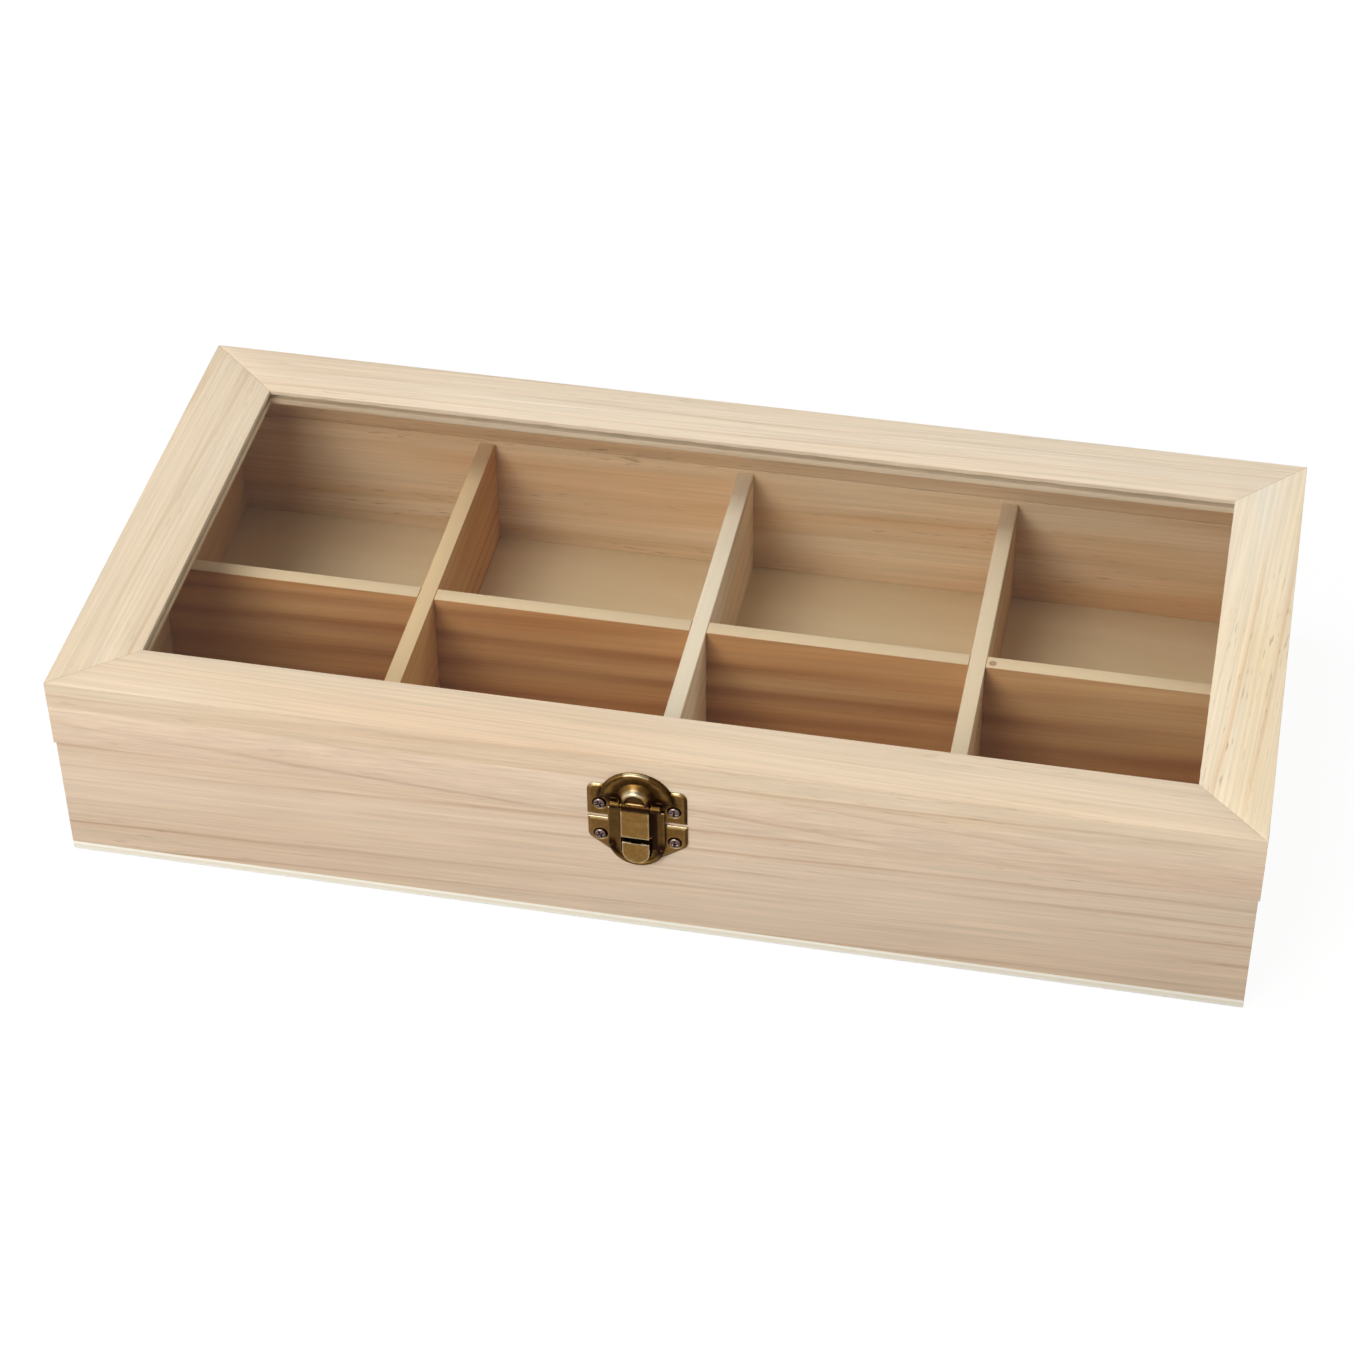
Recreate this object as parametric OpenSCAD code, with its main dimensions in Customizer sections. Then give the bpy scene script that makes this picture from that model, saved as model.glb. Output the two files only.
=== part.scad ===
// Tea bag organizer box: a shallow wooden box with two rows of four compartments and a hinged, glazed lid.
// The origin is the middle of the underside of the base. +X is to the right, +Y to the back and +Z up.
// The front, with the latch, faces -Y, and the two hinges are on the back.

/* [Box] */
// Outside width of the closed box, side to side
lid_w = 350; // [260:1:450]
// Outside depth of the closed box, front to back
lid_d = 170; // [130:1:240]
// Height of the closed box, from the table to the top of the lid
total_h = 66; // [58:1:110]
// Height of the lid alone
lid_h = 23; // [21:0.5:34]
// How far the lid stands proud of the box at the front and at the sides
lid_overhang = 0.5; // [0.1:0.1:1.5]
// Thickness of the wall boards of the box and of the lid
wall_t = 5; // [4.5:0.5:9]
// Thickness of the plywood base
base_t = 3; // [2:0.5:6]
// Air gap between the rim of the box and the closed lid
rim_gap = 0.3; // [0.2:0.1:0.8]
// Width of the small flat planed along each outer edge
arris = 0.5; // [0.1:0.1:1.5]

/* [Dividers] */
// Thickness of the divider boards
divider_t = 5; // [3:0.5:8]
// How much wider each end compartment is than one of the middle ones
end_room_extra = 2; // [0:0.5:20]
// How far the long divider sits behind the middle of the box
row_offset = 2.5; // [-10:0.5:10]
// How far the divider tops stay below the rim of the box
divider_drop = 1.2; // [0.5:0.1:10]
// Play of a divider end at its wall
divider_play = 0.2; // [0.1:0.05:0.5]
// Play across each half-lap slot
lap_play = 0.2; // [0.05:0.05:0.6]

/* [Lid frame] */
// Width of the front rail
front_rail_w = 19.5; // [14:0.5:35]
// Width of the back rail
back_rail_w = 21; // [14:0.5:35]
// Width of the left rail
left_rail_w = 23.5; // [14:0.5:35]
// Width of the right rail
right_rail_w = 20.5; // [14:0.5:35]
// Thickness of the rails at the window
rail_t = 6; // [5:0.5:8]
// Extra thickness of the rails along their outer rim, where they stand on the lid walls
rim_step = 3; // [1:0.5:4]
// Thickness of the glass
glass_t = 2; // [1.5:0.1:3]
// How far the groove for the glass lies below the top of the lid
groove_drop = 1.8; // [1:0.1:2.4]
// Air above the glass in its groove
groove_air = 0.4; // [0.1:0.1:0.8]
// Depth of the groove into each rail
groove_d = 6; // [3:0.5:8]
// Play of the glass edge in its groove
glass_play = 0.4; // [0.1:0.1:1]

/* [Latch] */
// Place of the latch along the front, from the middle
latch_x = -0.7; // [-60:0.1:60]
// Width of both latch plates across their ears
latch_w = 29; // [26:0.5:36]
// Thickness of the latch plates
plate_t = 0.8; // [0.5:0.1:1.2]
// Distance from the seam to the facing edge of each latch plate
seam_edge = 0.6; // [0.4:0.1:1.2]
// Height of the ears of the lid plate above the seam
ear_top = 12.7; // [12.2:0.1:14]
// Radius of the arched top of the lid plate, around the pin
arch_r = 11; // [10.5:0.1:12.5]
// Width of the raised bead along the arch
bead_w = 1.4; // [1:0.1:2]
// Height of the latch pin above the seam
pivot_z = 7.3; // [7:0.1:8]
// Radius of the latch pin
latch_pin_r = 0.6; // [0.4:0.05:0.7]
// Outer radius of the latch knuckles
latch_knuckle_r = 1.3; // [1.1:0.05:1.5]
// Length of each knuckle of the lid plate
latch_knuckle_w = 3; // [2:0.1:4]
// Width of the flap across its wings
flap_w = 16.5; // [15.5:0.1:17.5]
// Thickness of the flap's sheet
flap_t = 0.7; // [0.5:0.05:0.9]
// Depth of the flap's rounded end below the seam
flap_drop = 16.1; // [15.6:0.1:20]
// Width of the raised nose of the flap
nose_w = 8.3; // [7.5:0.1:9]
// Depth of the nose's lower edge below the seam
nose_drop = 3.9; // [3:0.1:5]
// Width of the metal left below the flap's window
crescent_w = 1.6; // [1.2:0.1:3]
// Depth of the catch tongue's lip below the seam
tongue_drop = 6.3; // [5.6:0.1:7.5]
// Height of the catch tongue's lip above the catch plate
tongue_h = 2.9; // [2:0.1:3.2]
// Depth of the catch plate's ears below the seam
catch_ear_drop = 9.3; // [9.1:0.1:10.5]
// Depth of the catch plate's point below the seam
catch_drop = 15.4; // [14.8:0.1:15.6]
// Play between the moving parts of the latch
latch_play = 0.3; // [0.25:0.05:0.4]

/* [Hinges] */
// Distance from each side of the lid to the middle of its hinge
hinge_inset = 60; // [25:1:95]
// Width of a hinge leaf
leaf_w = 22; // [18:1:24]
// Height of a hinge leaf, from the pin to its far edge
leaf_h = 10; // [9:0.5:13]
// Thickness of a hinge leaf
leaf_t = 0.8; // [0.6:0.1:1.2]
// Outer radius of the hinge knuckles
hinge_knuckle_r = 1.6; // [1.4:0.1:2]
// Radius of the hinge pin
hinge_pin_r = 0.8; // [0.6:0.05:1]
// Length of the middle knuckle, on the lid leaf
mid_knuckle_w = 8; // [6:0.5:10]
// Play between the moving parts of a hinge
hinge_play = 0.3; // [0.25:0.05:0.5]

/* [Screws] */
// Radius of a screw's shank
shank_r = 0.9; // [0.6:0.05:1.2]
// Length of a screw under its head
screw_len = 4; // [3:0.1:4.5]
// Radius of a latch screw's head
latch_head_r = 2; // [1.6:0.1:2.2]
// Radius of a hinge screw's head
hinge_head_r = 1.9; // [1.6:0.1:2.2]
// Height of a screw head
head_h = 0.9; // [0.6:0.1:1.1]
// Width of the arms of the cross recess
recess_w = 0.5; // [0.3:0.05:0.7]
// Distance of the latch screws from the middle of the latch
latch_screw_x = 10.8; // [10.5:0.1:12]
// Height of the upper latch screws above the seam
lid_screw_z = 5.4; // [4:0.1:7]
// Depth of the lower latch screws below the seam
catch_screw_z = 6.9; // [5:0.1:7]
// Distance of the hinge screws from the middle of a leaf
hinge_screw_x = 6.5; // [5:0.1:8]
// Distance of the hinge screws from the hinge pin
hinge_screw_z = 6; // [5:0.1:7]
// Running clearance around a pin
pin_fit = 0.05; // [0.02:0.01:0.1]

/* [Hidden] */

$fn = 64;
// Overrun of a cut past the face that it opens
over = 1;

PALE_WOOD = [0.87, 0.76, 0.64];
CREAM_WOOD = [0.91, 0.84, 0.73];
BROWN_WOOD = [0.70, 0.55, 0.38];
PLYWOOD = [0.88, 0.83, 0.71];
GLASS = [0.85, 0.92, 0.90, 0.3];
OLD_BRASS = [0.45, 0.35, 0.18];
DARK_BRASS = [0.28, 0.21, 0.15];

// Faces of the lid and of the box. They are flush at the back, where the hinges bridge them.
lid_x = lid_w / 2;
lid_front = -lid_d / 2;
back = lid_d / 2;
box_x = lid_x - lid_overhang;
box_front = lid_front + lid_overhang;
lid_z = total_h - lid_h;
rim_z = lid_z - rim_gap;
seam_z = lid_z - rim_gap / 2;

// Inside of the box
in_x = box_x - wall_t;
in_front = box_front + wall_t;
in_back = back - wall_t;
divider_top = rim_z - divider_drop;
divider_h = divider_top - base_t;
lap_z = base_t + divider_h / 2;
middle_room = (2 * in_x - 3 * divider_t - 2 * end_room_extra) / 4;
divider_pitch = middle_room + divider_t;

// Inside of the lid, and its window
lid_in_x = lid_x - wall_t;
lid_in_front = lid_front + wall_t;
rail_under_z = total_h - rail_t;
rail_foot_z = rail_under_z - rim_step;
win_left = -lid_x + left_rail_w;
win_right = lid_x - right_rail_w;
win_front = lid_front + front_rail_w;
win_back = back - back_rail_w;
groove_top_z = total_h - groove_drop;
glass_z = groove_top_z - groove_air - glass_t;
glass_reach = groove_d - glass_play;
// How far a mitre line is carried on past the outer corner, as a share of the mitre's length
mitre_over = 0.1;

// The latch is drawn on the front face: 2D x runs along the front, 2D y up from the seam, and depths stand
// out from the face of the lid.
flap_under = plate_t + latch_play;
latch_pin_out = flap_under + latch_knuckle_r;
nose_out = latch_pin_out + latch_knuckle_r;
knuckle_x0 = nose_w / 2 + latch_play;
knuckle_x1 = knuckle_x0 + latch_knuckle_w;
wing_top = pivot_z - latch_knuckle_r - 2 * latch_play;
hood_foot = pivot_z + latch_knuckle_r + latch_play;
hood_r = nose_w / 2;
hood_z = hood_foot + latch_play;
window_r = nose_w / 2 + latch_play;
window_z = window_r + crescent_w - flap_drop;
tongue_r = nose_w / 2 - latch_play / 2;
tongue_z = window_z;
tongue_foot = tongue_z - tongue_r;
catch_out = plate_t - lid_overhang;
ear_corner_r = 2.5;
// Cuts across the lower corners of the catch plate
catch_cut_x = 1.5;
catch_cut_z = 1;
// Shares of the tongue's height that its strip has reached above its foot and at its knee
tongue_root = 0.35;
tongue_knee = 0.7;

// The hinges are drawn on the back face, their depths standing out to the back.
hinge_x = lid_x - hinge_inset;
hinge_out = hinge_play + hinge_knuckle_r;
leaf_cut = hinge_knuckle_r + hinge_play;
mid_knuckle_x = mid_knuckle_w / 2;
side_knuckle_x = mid_knuckle_x + hinge_play;
leaf_x = leaf_w / 2;
leaf_corner_r = 2;

// Shape of a screw head: the flat of its top and the reach of its recess as shares of the head's radius, and the
// height of the recess's floor as a share of the head's height
head_flat = 0.6;
recess_floor = 0.4;

// Outline of a rectangle with its four corners cut off
function eased(a0, a1, b0, b1, c) = [
    [a0 + c, b0], [a1 - c, b0], [a1, b0 + c], [a1, b1 - c],
    [a1 - c, b1], [a0 + c, b1], [a0, b1 - c], [a0, b0 + c]
];

// Block between two opposite corners
module block(low, high) {
    translate(low)
        cube(high - low);
}

// Block with a small flat along each of its edges
module eased_block(low, high, cut) {
    intersection() {
        translate([0, 0, low[2]])
            linear_extrude(high[2] - low[2])
                polygon(eased(low[0], high[0], low[1], high[1], cut));
        translate([0, high[1], 0])
            rotate([90, 0, 0])
                linear_extrude(high[1] - low[1])
                    polygon(eased(low[0], high[0], low[2], high[2], cut));
        translate([low[0], 0, 0])
            rotate([90, 0, 90])
                linear_extrude(high[0] - low[0])
                    polygon(eased(low[1], high[1], low[2], high[2], cut));
    }
}

// Sheet on the front face between two distances out from the face of the lid
module on_front(out_0, out_1) {
    translate([latch_x, lid_front - out_0, seam_z])
        rotate([90, 0, 0])
            linear_extrude(out_1 - out_0)
                children();
}

// Sheet on the back face, centred on one hinge, between two distances out from the back
module on_back(x, out_0, out_1) {
    translate([x, back + out_1, seam_z])
        rotate([90, 0, 0])
            linear_extrude(out_1 - out_0)
                children();
}

// Round bar along X on the axis of the latch pin
module latch_bar(x_0, x_1, r) {
    translate([latch_x + x_0, lid_front - latch_pin_out, seam_z + pivot_z])
        rotate([0, 90, 0])
            cylinder(h = x_1 - x_0, r = r);
}

// Round bar along X on the axis of the hinge pins, measured from the middle of one hinge
module hinge_bar(x, x_0, x_1, r) {
    translate([x + x_0, back + hinge_out, seam_z])
        rotate([0, 90, 0])
            cylinder(h = x_1 - x_0, r = r);
}

// Round-headed screw along Y, its head's seat at the given place; dir is the way that the head faces
module screw(x, y, z, dir, head_r) {
    translate([x, y, z])
        rotate([-90 * dir, 0, 0])
            difference() {
                union() {
                    translate([0, 0, -screw_len])
                        cylinder(h = screw_len, r = shank_r);
                    cylinder(h = head_h / 2, r = head_r);
                    translate([0, 0, head_h / 2])
                        cylinder(h = head_h / 2, r1 = head_r, r2 = head_r * head_flat);
                }
                for (turn = [45, 135])
                    rotate([0, 0, turn])
                        translate([-head_r * head_flat, -recess_w / 2, head_h * recess_floor])
                            cube([2 * head_r * head_flat, recess_w, head_h]);
            }
}

// Hole for one screw, through its plate and into the wood behind it
module screw_hole(x, y, z, dir) {
    translate([x, y, z])
        rotate([-90 * dir, 0, 0])
            translate([0, 0, -screw_len])
                cylinder(h = screw_len + over, r = shank_r);
}

module latch_lid_holes() {
    for (side = [-1, 1])
        screw_hole(latch_x + side * latch_screw_x, lid_front - plate_t, seam_z + lid_screw_z, -1);
}

module latch_catch_holes() {
    for (side = [-1, 1])
        screw_hole(latch_x + side * latch_screw_x, box_front - plate_t, seam_z - catch_screw_z, -1);
}

module hinge_holes(z) {
    for (hinge = [-1, 1])
        for (side = [-1, 1])
            screw_hole(hinge * hinge_x + side * hinge_screw_x, back + leaf_t, z, 1);
}

// The four walls of the box as one ring, cut up by the modules below
module box_ring() {
    difference() {
        eased_block([-box_x, box_front, base_t], [box_x, back, rim_z], arris);
        block([-in_x, in_front, base_t - over], [in_x, in_back, rim_z + over]);
    }
}

// The four walls of the lid as one ring, up to the foot of the rails
module lid_ring() {
    difference() {
        eased_block([-lid_x, lid_front, lid_z], [lid_x, back, total_h], arris);
        block([-lid_in_x, lid_in_front, lid_z - over], [lid_in_x, in_back, total_h]);
        block([-lid_x - over, lid_front - over, rail_foot_z], [lid_x + over, back + over, total_h + over]);
    }
}

// The frame on top of the lid, with its window, the groove for the glass and the rebate over the lid walls
module frame_ring() {
    difference() {
        eased_block([-lid_x, lid_front, lid_z], [lid_x, back, total_h], arris);
        block([-lid_x - over, lid_front - over, lid_z - over], [lid_x + over, back + over, rail_foot_z]);
        block([-lid_in_x, lid_in_front, lid_z - over], [lid_in_x, in_back, rail_under_z]);
        block([win_left, win_front, lid_z - over], [win_right, win_back, total_h + over]);
        block(
            [win_left - groove_d, win_front - groove_d, glass_z],
            [win_right + groove_d, win_back + groove_d, groove_top_z]
        );
    }
}

// A point of a mitre line carried on past the outer corner of the frame
function beyond(outer, inner) = outer + (outer - inner) * mitre_over;

// One rail: the part of the frame between the two mitre lines that meet its ends
module rail(outer_a, outer_b, inner_b, inner_a) {
    intersection() {
        frame_ring();
        translate([0, 0, lid_z - over])
            linear_extrude(lid_h + 2 * over)
                polygon([beyond(outer_a, inner_a), beyond(outer_b, inner_b), inner_b, inner_a]);
    }
}

module base_panel() {
    color(PLYWOOD)
        eased_block([-box_x, box_front, 0], [box_x, back, base_t], arris / 2);
}

module front_wall() {
    color(PALE_WOOD)
        difference() {
            intersection() {
                box_ring();
                block([-lid_x, lid_front - over, 0], [lid_x, in_front, total_h]);
            }
            latch_catch_holes();
        }
}

module back_wall() {
    color(PALE_WOOD)
        difference() {
            intersection() {
                box_ring();
                block([-lid_x, in_back, 0], [lid_x, back + over, total_h]);
            }
            hinge_holes(seam_z - hinge_screw_z);
        }
}

module left_wall() {
    color(PALE_WOOD)
        intersection() {
            box_ring();
            block([-lid_x, in_front, 0], [-in_x, in_back, total_h]);
        }
}

module right_wall() {
    color(PALE_WOOD)
        intersection() {
            box_ring();
            block([in_x, in_front, 0], [lid_x, in_back, total_h]);
        }
}

// The long divider is notched from above, and each cross divider drops over it
module long_divider() {
    color(BROWN_WOOD)
        difference() {
            block(
                [divider_play - in_x, row_offset - divider_t / 2, base_t],
                [in_x - divider_play, row_offset + divider_t / 2, divider_top]
            );
            for (place = [-1, 0, 1])
                translate([place * divider_pitch, row_offset, lap_z])
                    block(
                        [-(divider_t + lap_play) / 2, -divider_t, 0],
                        [(divider_t + lap_play) / 2, divider_t, divider_h]
                    );
        }
}

module cross_divider(place) {
    color(BROWN_WOOD)
        difference() {
            translate([place * divider_pitch, 0, 0])
                block(
                    [-divider_t / 2, in_front + divider_play, base_t],
                    [divider_t / 2, in_back - divider_play, divider_top]
                );
            translate([place * divider_pitch, row_offset, 0])
                block(
                    [-divider_t, -(divider_t + lap_play) / 2, base_t - over],
                    [divider_t, (divider_t + lap_play) / 2, lap_z]
                );
        }
}

module cross_divider_left() {
    cross_divider(-1);
}

module cross_divider_middle() {
    cross_divider(0);
}

module cross_divider_right() {
    cross_divider(1);
}

module lid_front_wall() {
    color(PALE_WOOD)
        difference() {
            intersection() {
                lid_ring();
                block([-lid_x, lid_front - over, 0], [lid_x, lid_in_front, total_h]);
            }
            latch_lid_holes();
        }
}

module lid_back_wall() {
    color(PALE_WOOD)
        difference() {
            intersection() {
                lid_ring();
                block([-lid_x, in_back, 0], [lid_x, back + over, total_h]);
            }
            hinge_holes(seam_z + hinge_screw_z);
        }
}

module lid_left_wall() {
    color(PALE_WOOD)
        intersection() {
            lid_ring();
            block([-lid_x, lid_in_front, 0], [-lid_in_x, in_back, total_h]);
        }
}

module lid_right_wall() {
    color(PALE_WOOD)
        intersection() {
            lid_ring();
            block([lid_in_x, lid_in_front, 0], [lid_x, in_back, total_h]);
        }
}

module lid_front_rail() {
    color(PALE_WOOD)
        rail([-lid_x, lid_front], [lid_x, lid_front], [win_right, win_front], [win_left, win_front]);
}

module lid_back_rail() {
    color(CREAM_WOOD)
        rail([lid_x, back], [-lid_x, back], [win_left, win_back], [win_right, win_back]);
}

module lid_left_rail() {
    color(CREAM_WOOD)
        rail([-lid_x, back], [-lid_x, lid_front], [win_left, win_front], [win_left, win_back]);
}

module lid_right_rail() {
    color(CREAM_WOOD)
        rail([lid_x, lid_front], [lid_x, back], [win_right, win_back], [win_right, win_front]);
}

module glass_pane() {
    color(GLASS)
        block(
            [win_left - glass_reach, win_front - glass_reach, glass_z],
            [win_right + glass_reach, win_back + glass_reach, glass_z + glass_t]
        );
}

// Outline of the lid plate: two ears with round outer corners, and the arch around the pin
module lid_plate_outline() {
    translate([ear_corner_r - latch_w / 2, seam_edge])
        square([latch_w - 2 * ear_corner_r, ear_top - seam_edge]);
    translate([-latch_w / 2, seam_edge])
        square([latch_w, ear_top - ear_corner_r - seam_edge]);
    for (side = [-1, 1])
        translate([side * (latch_w / 2 - ear_corner_r), ear_top - ear_corner_r])
            circle(r = ear_corner_r);
    intersection() {
        translate([0, pivot_z])
            circle(r = arch_r);
        translate([-arch_r, pivot_z])
            square([2 * arch_r, arch_r + over]);
    }
}

// Raised bead along the arch, above the ears
module arch_bead_outline() {
    intersection() {
        difference() {
            translate([0, pivot_z])
                circle(r = arch_r);
            translate([0, pivot_z])
                circle(r = arch_r - bead_w);
        }
        translate([-arch_r, ear_top])
            square([2 * arch_r, arch_r + over]);
    }
}

// Outline of the raised hood that continues the nose of the flap above the pin
module hood_outline(inset) {
    translate([inset - hood_r, hood_foot])
        square([2 * (hood_r - inset), hood_z - hood_foot]);
    intersection() {
        translate([0, hood_z])
            circle(r = hood_r - inset);
        translate([-hood_r, hood_z])
            square([2 * hood_r, hood_r + over]);
    }
}

module latch_lid_plate() {
    color(OLD_BRASS)
        difference() {
            union() {
                on_front(0, plate_t)
                    lid_plate_outline();
                on_front(plate_t / 2, plate_t + flap_t)
                    arch_bead_outline();
                on_front(plate_t / 2, nose_out - flap_t)
                    hood_outline(0);
                on_front(nose_out - flap_t - plate_t / 2, nose_out)
                    hood_outline(flap_t);
                for (side = [-1, 1]) {
                    latch_bar(
                        side > 0 ? knuckle_x0 : -knuckle_x1,
                        side > 0 ? knuckle_x1 : -knuckle_x0,
                        latch_knuckle_r
                    );
                    on_front(plate_t / 2, latch_pin_out)
                        translate([side > 0 ? knuckle_x0 : -knuckle_x1, pivot_z])
                            square([latch_knuckle_w, latch_knuckle_r]);
                }
            }
            latch_bar(-knuckle_x1 - over, knuckle_x1 + over, latch_pin_r);
            latch_lid_holes();
        }
}

module latch_pin() {
    color(OLD_BRASS)
        latch_bar(-knuckle_x1, knuckle_x1, latch_pin_r);
}

// Outline of the flap's wings, with the window that the catch tongue comes through
module flap_outline() {
    difference() {
        union() {
            translate([-flap_w / 2, flap_w / 2 - flap_drop])
                square([flap_w, wing_top + flap_drop - flap_w / 2]);
            translate([0, flap_w / 2 - flap_drop])
                circle(r = flap_w / 2);
        }
        translate([0, window_z])
            circle(r = window_r);
        translate([-window_r, window_z])
            square([2 * window_r, -nose_drop - window_z]);
    }
}

// The nose is a hollow raised channel that curls round the pin at its upper end
module latch_flap() {
    color(OLD_BRASS)
        difference() {
            union() {
                on_front(flap_under, flap_under + flap_t)
                    flap_outline();
                on_front(flap_under, nose_out)
                    translate([-nose_w / 2, -nose_drop])
                        square([nose_w, nose_drop + pivot_z]);
                latch_bar(-nose_w / 2, nose_w / 2, latch_knuckle_r);
            }
            on_front(flap_under - over, nose_out - flap_t)
                translate([flap_t - nose_w / 2, -nose_drop - over])
                    square([nose_w - 2 * flap_t, wing_top + nose_drop + over - flap_t]);
            latch_bar(-nose_w, nose_w, latch_pin_r + pin_fit);
        }
}

// Outline of the catch plate: two ears above a blunt point
module catch_plate_outline() {
    polygon([
        [-latch_w / 2, -seam_edge],
        [-latch_w / 2, catch_cut_z - catch_ear_drop],
        [catch_cut_x - latch_w / 2, -catch_ear_drop],
        [-window_r - crescent_w, catch_cut_z - catch_drop],
        [-window_r, -catch_drop],
        [window_r, -catch_drop],
        [window_r + crescent_w, catch_cut_z - catch_drop],
        [latch_w / 2 - catch_cut_x, -catch_ear_drop],
        [latch_w / 2, catch_cut_z - catch_ear_drop],
        [latch_w / 2, -seam_edge]
    ]);
}

// Outline of the catch tongue: straight sides down to a half-round foot
module tongue_outline() {
    translate([0, tongue_z])
        circle(r = tongue_r);
    translate([-tongue_r, tongue_z])
        square([2 * tongue_r, -tongue_drop - tongue_z]);
}

// Side view of the tongue: a bent strip that rises from its foot to a free lip
module tongue_section() {
    tip_y = -catch_out - tongue_h;
    knee_y = -catch_out - tongue_h * tongue_knee;
    foot_y = -catch_out + plate_t / 2;
    polygon([
        [foot_y, tongue_foot - over],
        [-catch_out, tongue_foot - over],
        [-catch_out - tongue_h * tongue_root, tongue_foot + flap_t],
        [knee_y, tongue_foot + tongue_h],
        [tip_y, -tongue_drop],
        [tip_y + flap_t, -tongue_drop],
        [knee_y + flap_t, tongue_foot + tongue_h + flap_t],
        [foot_y, tongue_foot + tongue_h]
    ]);
}

module latch_catch_plate() {
    color(OLD_BRASS)
        difference() {
            union() {
                on_front(-lid_overhang, catch_out)
                    catch_plate_outline();
                intersection() {
                    on_front(catch_out - plate_t / 2, catch_out + tongue_h)
                        tongue_outline();
                    translate([latch_x - tongue_r, lid_front, seam_z])
                        rotate([90, 0, 90])
                            linear_extrude(2 * tongue_r)
                                tongue_section();
                }
            }
            latch_catch_holes();
        }
}

module latch_lid_screws() {
    color(DARK_BRASS)
        for (side = [-1, 1])
            screw(latch_x + side * latch_screw_x, lid_front - plate_t, seam_z + lid_screw_z, -1, latch_head_r);
}

module latch_catch_screws() {
    color(DARK_BRASS)
        for (side = [-1, 1])
            screw(latch_x + side * latch_screw_x, box_front - plate_t, seam_z - catch_screw_z, -1, latch_head_r);
}

// Outline of a hinge leaf that hangs from the pin, with round outer corners
module leaf_outline() {
    translate([-leaf_x, leaf_corner_r - leaf_h])
        square([leaf_w, leaf_h - leaf_corner_r]);
    translate([leaf_corner_r - leaf_x, -leaf_h])
        square([leaf_w - 2 * leaf_corner_r, leaf_corner_r]);
    for (side = [-1, 1])
        translate([side * (leaf_x - leaf_corner_r), leaf_corner_r - leaf_h])
            circle(r = leaf_corner_r);
}

// The box leaf carries the two outer knuckles
module hinge_box_leaf(x) {
    color(OLD_BRASS)
        difference() {
            union() {
                on_back(x, 0, leaf_t)
                    difference() {
                        leaf_outline();
                        translate([-side_knuckle_x, -leaf_cut])
                            square([2 * side_knuckle_x, leaf_cut + over]);
                    }
                for (span = [[-leaf_x, -side_knuckle_x], [side_knuckle_x, leaf_x]]) {
                    hinge_bar(x, span[0], span[1], hinge_knuckle_r);
                    on_back(x, 0, hinge_out)
                        translate([span[0], -hinge_knuckle_r])
                            square([span[1] - span[0], hinge_knuckle_r - rim_gap / 2]);
                }
            }
            hinge_bar(x, -leaf_w, leaf_w, hinge_pin_r);
            hinge_holes(seam_z - hinge_screw_z);
        }
}

// The lid leaf carries the middle knuckle
module hinge_lid_leaf(x) {
    color(OLD_BRASS)
        difference() {
            union() {
                on_back(x, 0, leaf_t)
                    mirror([0, 1])
                        difference() {
                            leaf_outline();
                            for (side = [-1, 1])
                                translate([side > 0 ? mid_knuckle_x : -leaf_w, -leaf_cut])
                                    square([leaf_w - mid_knuckle_x, leaf_cut + over]);
                            translate([-leaf_w, -rim_gap / 2])
                                square([2 * leaf_w, rim_gap]);
                        }
                hinge_bar(x, -mid_knuckle_x, mid_knuckle_x, hinge_knuckle_r);
                on_back(x, 0, hinge_out)
                    translate([-mid_knuckle_x, rim_gap / 2])
                        square([mid_knuckle_w, hinge_knuckle_r - rim_gap / 2]);
            }
            hinge_bar(x, -leaf_w, leaf_w, hinge_pin_r + pin_fit);
            hinge_holes(seam_z + hinge_screw_z);
        }
}

module hinge_pin(x) {
    color(OLD_BRASS)
        hinge_bar(x, -leaf_x, leaf_x, hinge_pin_r);
}

module left_hinge_box_leaf() {
    hinge_box_leaf(-hinge_x);
}

module left_hinge_lid_leaf() {
    hinge_lid_leaf(-hinge_x);
}

module left_hinge_pin() {
    hinge_pin(-hinge_x);
}

module right_hinge_box_leaf() {
    hinge_box_leaf(hinge_x);
}

module right_hinge_lid_leaf() {
    hinge_lid_leaf(hinge_x);
}

module right_hinge_pin() {
    hinge_pin(hinge_x);
}

// The screws of one leaf on each hinge
module hinge_screws(z) {
    color(DARK_BRASS)
        for (hinge = [-1, 1])
            for (side = [-1, 1])
                screw(hinge * hinge_x + side * hinge_screw_x, back + leaf_t, z, 1, hinge_head_r);
}

module hinge_box_screws() {
    hinge_screws(seam_z - hinge_screw_z);
}

module hinge_lid_screws() {
    hinge_screws(seam_z + hinge_screw_z);
}

base_panel();
front_wall();
back_wall();
left_wall();
right_wall();
long_divider();
cross_divider_left();
cross_divider_middle();
cross_divider_right();
lid_front_wall();
lid_back_wall();
lid_left_wall();
lid_right_wall();
lid_front_rail();
lid_back_rail();
lid_left_rail();
lid_right_rail();
glass_pane();
latch_lid_plate();
latch_pin();
latch_flap();
latch_catch_plate();
latch_lid_screws();
latch_catch_screws();
left_hinge_box_leaf();
left_hinge_lid_leaf();
left_hinge_pin();
right_hinge_box_leaf();
right_hinge_lid_leaf();
right_hinge_pin();
hinge_box_screws();
hinge_lid_screws();
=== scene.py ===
# %% [markdown]
# # A wooden tea bag organizer box
# The model is a shallow box of bare, pale paulownia with eight compartments and a lid that holds a pane of glass in
# a mitred frame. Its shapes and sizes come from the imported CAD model; this lesson gives it its looks.
# First the frame is loaded. Its nodes can be dressed where they are, or hidden behind a finer piece that is
# modelled here in the same place.

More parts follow.
